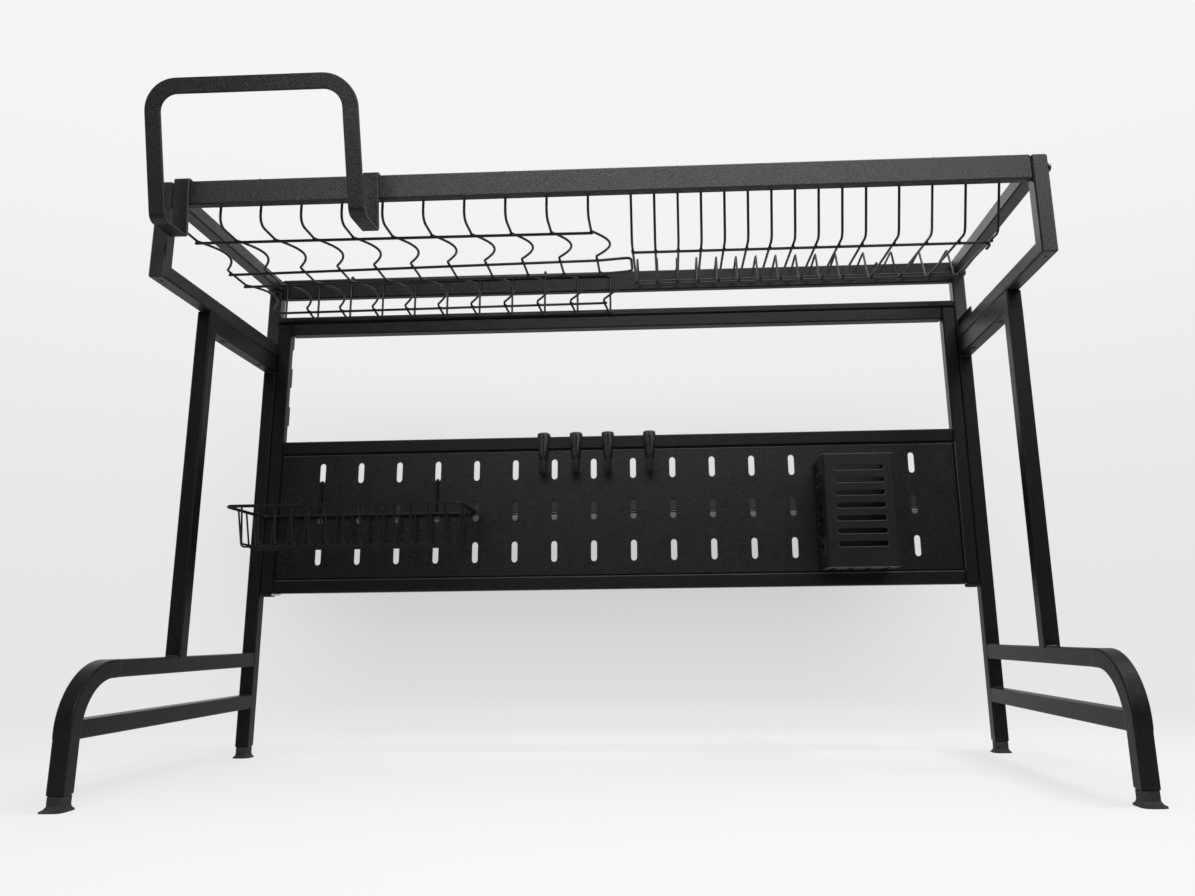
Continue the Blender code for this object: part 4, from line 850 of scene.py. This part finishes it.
def foot_bend(side, name):
    """Skin over the foot tube's bend, in many more steps than the solid below it."""
    bm = bmesh.new()
    x = side * POST_X
    centre_y = FRONT_FOOT + FOOT_BEND
    centre_z = FOOT_RAIL_TOP - TUBE / 2 - FOOT_BEND
    # how far along the straight tube, the turn, and how far out of the solid: its ends dip in
    stations = [(0.009, math.pi / 2, -0.0003), (0.005, math.pi / 2, 0.00022)]
    stations += [(0, math.pi / 2 * (1 + step / 28), BEND_SKIN) for step in range(29)]
    stations += [(-0.003, math.pi, 0.00022), (-0.006, math.pi, -0.0003)]
    rings = []
    for straight_on, turn, proud in stations:
        out = Vector((0, math.cos(turn), math.sin(turn)))
        along = Vector((0, 1, 0)) if straight_on > 0 else Vector((0, 0, 1))
        reach = FOOT_BEND + BEND_SWELL * math.sin(2 * turn - math.pi)
        centre = at(x, centre_y, centre_z) + out * reach + along * straight_on
        tall = TUBE / 2 + proud
        wide = TUBE / 2 - BEND_NARROW + proud * 0.5
        ring = []
        for across, up in ((1, 1), (-1, 1), (-1, -1), (1, -1)):
            shares = [(0, 1.35), (0, 1), (0.134, 0.5), (0.5, 0.134), (1, 0), (1.35, 0)]
            if across * up < 0:
                shares = [(second, first) for first, second in shares]
            for first, second in shares:
                sideways = across * (wide - ROUNDING * first)
                upright = up * (tall - ROUNDING * second)
                ring.append(bm.verts.new(centre + Vector((sideways, 0, 0)) + out * upright))
        rings.append(ring)
    skin(bm, rings)
    piece("foot_bend_" + name, bm, LEG_COAT, "frame")


def holder_path():
    """Centre line of the holder's strap, and half its width at each point."""
    half = STRAP_SHEET / 2
    left = -IN_X + HOLDER_INSET + STRAP / 2
    right = left + HOLDER_WIDTH - STRAP
    over = RACK_TOP + SEAT + half
    low = RACK_TOP - TROUGH_LOW + half
    front = -SEAT - half - TROUGH_DEPTH - STRAP_SHEET
    top = RACK_TOP + HOLDER_LEG_TOP
    leg_y = front - (top - low - TROUGH_KNEE) * math.tan(HOLDER_LEAN)
    leg_top = Vector((left, leg_y, top))
    behind = BAR_DEPTH + SEAT + half
    corners = [((left, behind, over - HOLDER_TAIL), 0), ((left, behind, over), HOLDER_BEND),
               ((left, -SEAT - half, over), HOLDER_BEND),
               ((left, -SEAT - half, low), TROUGH_BACK_BEND),
               ((left, front, low), TROUGH_FRONT_BEND), (leg_top, 0)]
    path = turned(corners, 9)[:-1]
    across = [Vector((STRAP / 2, 0, 0))] * len(path)
    rise = Vector((0, -math.sin(HOLDER_LEAN), math.cos(HOLDER_LEAN)))
    radius = HOLDER_CORNER - STRAP / 2
    for step in range(17):
        turn = math.pi / 2 * step / 16
        outward = Vector((-math.cos(turn), 0, 0)) + rise * math.sin(turn)
        path.append(leg_top + Vector((radius, 0, 0)) + outward * radius)
        across.append(-outward * (STRAP / 2))
    path += [Vector((left + right - point.x, point.y, point.z)) for point in reversed(path)]
    across += [Vector((-reach.x, reach.y, reach.z)) for reach in reversed(across)]
    return path, across


def holder_strap():
    """The board holder's strap again: squarer troughs, round corners, broken edges."""
    path, across = holder_path()
    half = STRAP_SHEET / 2
    edge = STRAP_EDGE / (STRAP / 2)
    quarter = [(1, 1 - STRAP_EDGE / half), (1 - edge, 1), (1 - 2 * edge, 1)]
    outline = quarter + [(-first, second) for first, second in reversed(quarter)]
    outline += [(-first, -second) for first, second in outline]
    bm = bmesh.new()
    rings = []
    for number, (point, reach) in enumerate(zip(path, across)):
        out = way_at(path, number).cross(reach).normalized() * half
        ring = []
        for first, second in outline:
            spot = point + reach * first + out * second
            aside = HOLDER_SKEW * (spot.z - SKEW_MIDDLE)
            aside += LEG_ASIDE * min(1, max(0, -spot.y / LEG_ASIDE_RUN))
            ring.append(bm.verts.new(at(spot.x - aside, spot.y, spot.z)))
        rings.append(ring)
    skin(bm, rings)
    strap = piece("board_holder_strap", bm, TUBE_COAT, "board_holder")
    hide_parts("board_holder")


def lathe(bm, start, way, outline, sides=20):
    """A turned shape: (distance along the way, radius) for each of its rings."""
    side = way.orthogonal().normalized()
    over = way.cross(side)
    rings = []
    for along, radius in outline:
        ring = []
        for count in range(sides):
            turn = math.tau * count / sides
            out = side * math.cos(turn) + over * math.sin(turn)
            ring.append(bm.verts.new(start + way * along + out * radius))
        rings.append(ring)
    skin(bm, rings)


def leg_bolt_caps():
    """The bolts under the leg frames, with low black heads and hollow sockets."""
    head = [(-0.0001, 0.0013), (-0.0003, 0.0016), (-0.0005, 0.0019), (-0.00055, 0.0030),
            (-0.0004, 0.0037), (-0.0001, 0.0040), (0.0001, 0.0040)]
    shank = [(0.0004, 0.0022), (0.0240, 0.0022), (0.0250, 0.0018)]
    for side, name in ((-1, "left"), (1, "right")):
        for y, end in ((FRONT_LEG + TUBE + BOLT_INSET, "front"), (BACK_Y - BOLT_INSET, "back")):
            bm = bmesh.new()
            under = at(side * POST_X, y, LEG_TOP - LEG_BAR)
            lathe(bm, under, Vector((0, 0, 1)), head + shank)
            bolt = piece(f"leg_bolt_low_{end}_{name}", bm, LEG_COAT, "frame")
            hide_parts(f"leg_bolt_{end}_{name}")


def rail_screw():
    """Small zinc screw whose tip shows beside the left rail's end plug."""
    bm = bmesh.new()
    thread = []
    for count in range(11):
        crest = 0.0012 + count * 0.0008
        thread += [(crest, 0.00125), (crest + 0.0004, 0.00100)]
    outline = [(0, 0.0011)] + thread + [(0.0102, 0.0008), (0.0106, 0.0003)]
    lathe(bm, at(-0.3962, BACK_Y + 0.0020, 0.1782), Vector((1, 0, 0)), outline, 14)
    piece("rail_screw_left", bm, SCREW_STEEL, "frame")


def floor_sheet():
    """Pale floor that thins out into the backdrop; it keeps the rack's shadow. In front of the rack
    its colour is painted dark, as shade that only reflections and bounced light see; the camera
    sees a pale glow there.
    """
    bm = bmesh.new()
    bmesh.ops.create_circle(bm, cap_ends=True, radius=14, segments=96)
    mesh = bpy.data.meshes.new("studio_floor")
    bm.to_mesh(mesh)
    bm.free()
    floor = bpy.data.objects.new("studio_floor", mesh)
    bpy.context.collection.objects.link(floor)
    paper = material("studio_floor")
    distance = paper.node("ShaderNodeVectorMath", {"operation": "LENGTH"},
                          {0: paper.place()}, output="Value")
    near = paper.ease(distance, 0.6, 1.9, FLOOR_NEAR, FLOOR_FAR)
    forward = paper.node("ShaderNodeSeparateXYZ", None, {0: paper.place()}, output="Y") * -1
    # painted shade: the floor's colour turns dark in front of the rack, seen only in reflections
    # and bounced light
    front_painted_dark = paper.ease(forward, 0.45, 0.85)
    paper.put("Base Color", paper.tint(front_painted_dark, (0.75, 0.75, 0.75), (0.06, 0.06, 0.06)))
    paper.put("Roughness", 0.9)
    paper.put("Specular IOR Level", 0.1)
    seen = paper.node("ShaderNodeLightPath", output="Is Camera Ray")
    glow = paper.node("ShaderNodeEmission", None, {"Color": near, "Strength": 1.0})
    fade = paper.ease(distance, 0.6, 1.5, 0.60, 1.0)
    matt = Socket(paper, paper.shader.outputs[0])
    lit = paper.node("ShaderNodeMixShader", None,
                     {0: seen * paper.math("MAXIMUM", fade, front_painted_dark), 1: matt, 2: glow})
    thin = paper.ease(distance, 0.25, 1.25)
    shown = paper.node("ShaderNodeMixShader", None,
                       {0: seen * thin, 1: lit, 2: paper.node("ShaderNodeBsdfTransparent")})
    paper.tree.links.new(shown.output, paper.tree.nodes["Material Output"].inputs["Surface"])
    mesh.materials.append(paper.owner)


def set_world():
    """A pale backdrop behind, a darker room in front; the camera sees the backdrop all round."""
    world = bpy.data.worlds.new("studio_world")
    bpy.context.scene.world = world
    room = Surface(world)
    way = room.node("ShaderNodeTexCoord", output="Generated")

    def part(axis):
        return room.node("ShaderNodeSeparateXYZ", None, {0: way}, output=axis)

    backdrop = room.ease(part("Z"), 0.0, 0.55, HORIZON, SKY)
    low_band = room.ramp(part("Z") * 2.5 + 0.25, (0.0, 0.10), (0.25, 0.52), (0.45, 1.0),
                         (0.67, 0.42), (0.88, 0))
    beside = room.math("ABSOLUTE", part("X") + 0.07)
    shade = low_band * room.ease(beside, 0.18, 0.42, 1, 0) * room.ease(part("Y"), 0.3, 0.8)
    pale = backdrop - shade * SHADE
    dim_side = room.ease(part("X"), 0.1, 0.5, 1, 0.50)
    camera_ray = room.node("ShaderNodeLightPath", output="Is Camera Ray")
    mirror_ray = (room.node("ShaderNodeLightPath", output="Is Glossy Ray")
                  + room.node("ShaderNodeLightPath", output="Is Transmission Ray"))
    behind = room.ease(part("Y"), -0.1, 0.75)
    over = room.ease(part("Z"), 0.25, 0.95, 0, ROOM_TOP)
    glow = (room.ease(room.math("ABSOLUTE", part("X") + 0.06), 0.05, 0.30, 1, 0)
            * room.ease(room.math("ABSOLUTE", part("Z") - 0.14), 0.04, 0.24, 1, 0)
            * room.ease(part("Y"), -0.8, -0.6, GLOW, 0))
    dark_room = ROOM_FRONT + glow + over
    wall_behind = mirror_ray * pale * dim_side + (1 - mirror_ray) * ROOM_BACK
    lighting = behind * wall_behind + (1 - behind * 0.8) * dark_room
    room.put("Color", camera_ray * pale + (1 - camera_ray) * lighting)
    room.put("Strength", 1.0)


def set_lights():
    """Soft boxes that light the rack and aren't seen themselves."""
    for name, place, aim, width, height, watts in LAMPS:
        light = bpy.data.lights.new(name, "AREA")
        light.shape = "RECTANGLE"
        light.size = width
        light.size_y = height
        light.energy = watts
        lamp = bpy.data.objects.new(name, light)
        lamp.location = place
        lamp.rotation_euler = (Vector(aim) - Vector(place)).to_track_quat("-Z", "Y").to_euler()
        lamp.visible_camera = False
        bpy.context.collection.objects.link(lamp)


def set_camera():
    """A wide lens low in front of the rack, tilted up, as in the photograph."""
    yaw, pitch, roll = CAMERA_TURN
    right = Vector((math.cos(yaw), math.sin(yaw), 0))
    ahead = Vector((-math.sin(yaw) * math.cos(pitch), math.cos(yaw) * math.cos(pitch),
                    math.sin(pitch)))
    up = right.cross(ahead)
    across = right * math.cos(roll) + up * math.sin(roll)
    rise = up * math.cos(roll) - right * math.sin(roll)
    lens = bpy.data.cameras.new("studio_camera")
    lens.sensor_width = SENSOR
    lens.lens = LENS
    lens.shift_x, lens.shift_y = LENS_SHIFT
    lens.clip_start = 0.01
    camera = bpy.data.objects.new("studio_camera", lens)
    turn = Matrix((across, rise, -ahead)).transposed()
    camera.matrix_world = Matrix.Translation(CAMERA_PLACE) @ turn.to_4x4()
    bpy.context.collection.objects.link(camera)
    bpy.context.scene.camera = camera


dress_frame()
for frame_side, frame_name in ((-1, "left"), (1, "right")):
    leg_welds(frame_side, frame_name)
    foot_bend(frame_side, frame_name)
leg_bolt_caps()
rail_screw()
holder_strap()
bowl_wires()
bowl_welds()
plate_welds()
basket_welds()
board_seams()
crossbar_flange()
box_rims()
floor_sheet()
set_world()
set_lights()
set_camera()
bpy.context.scene.view_settings.view_transform = "Standard"
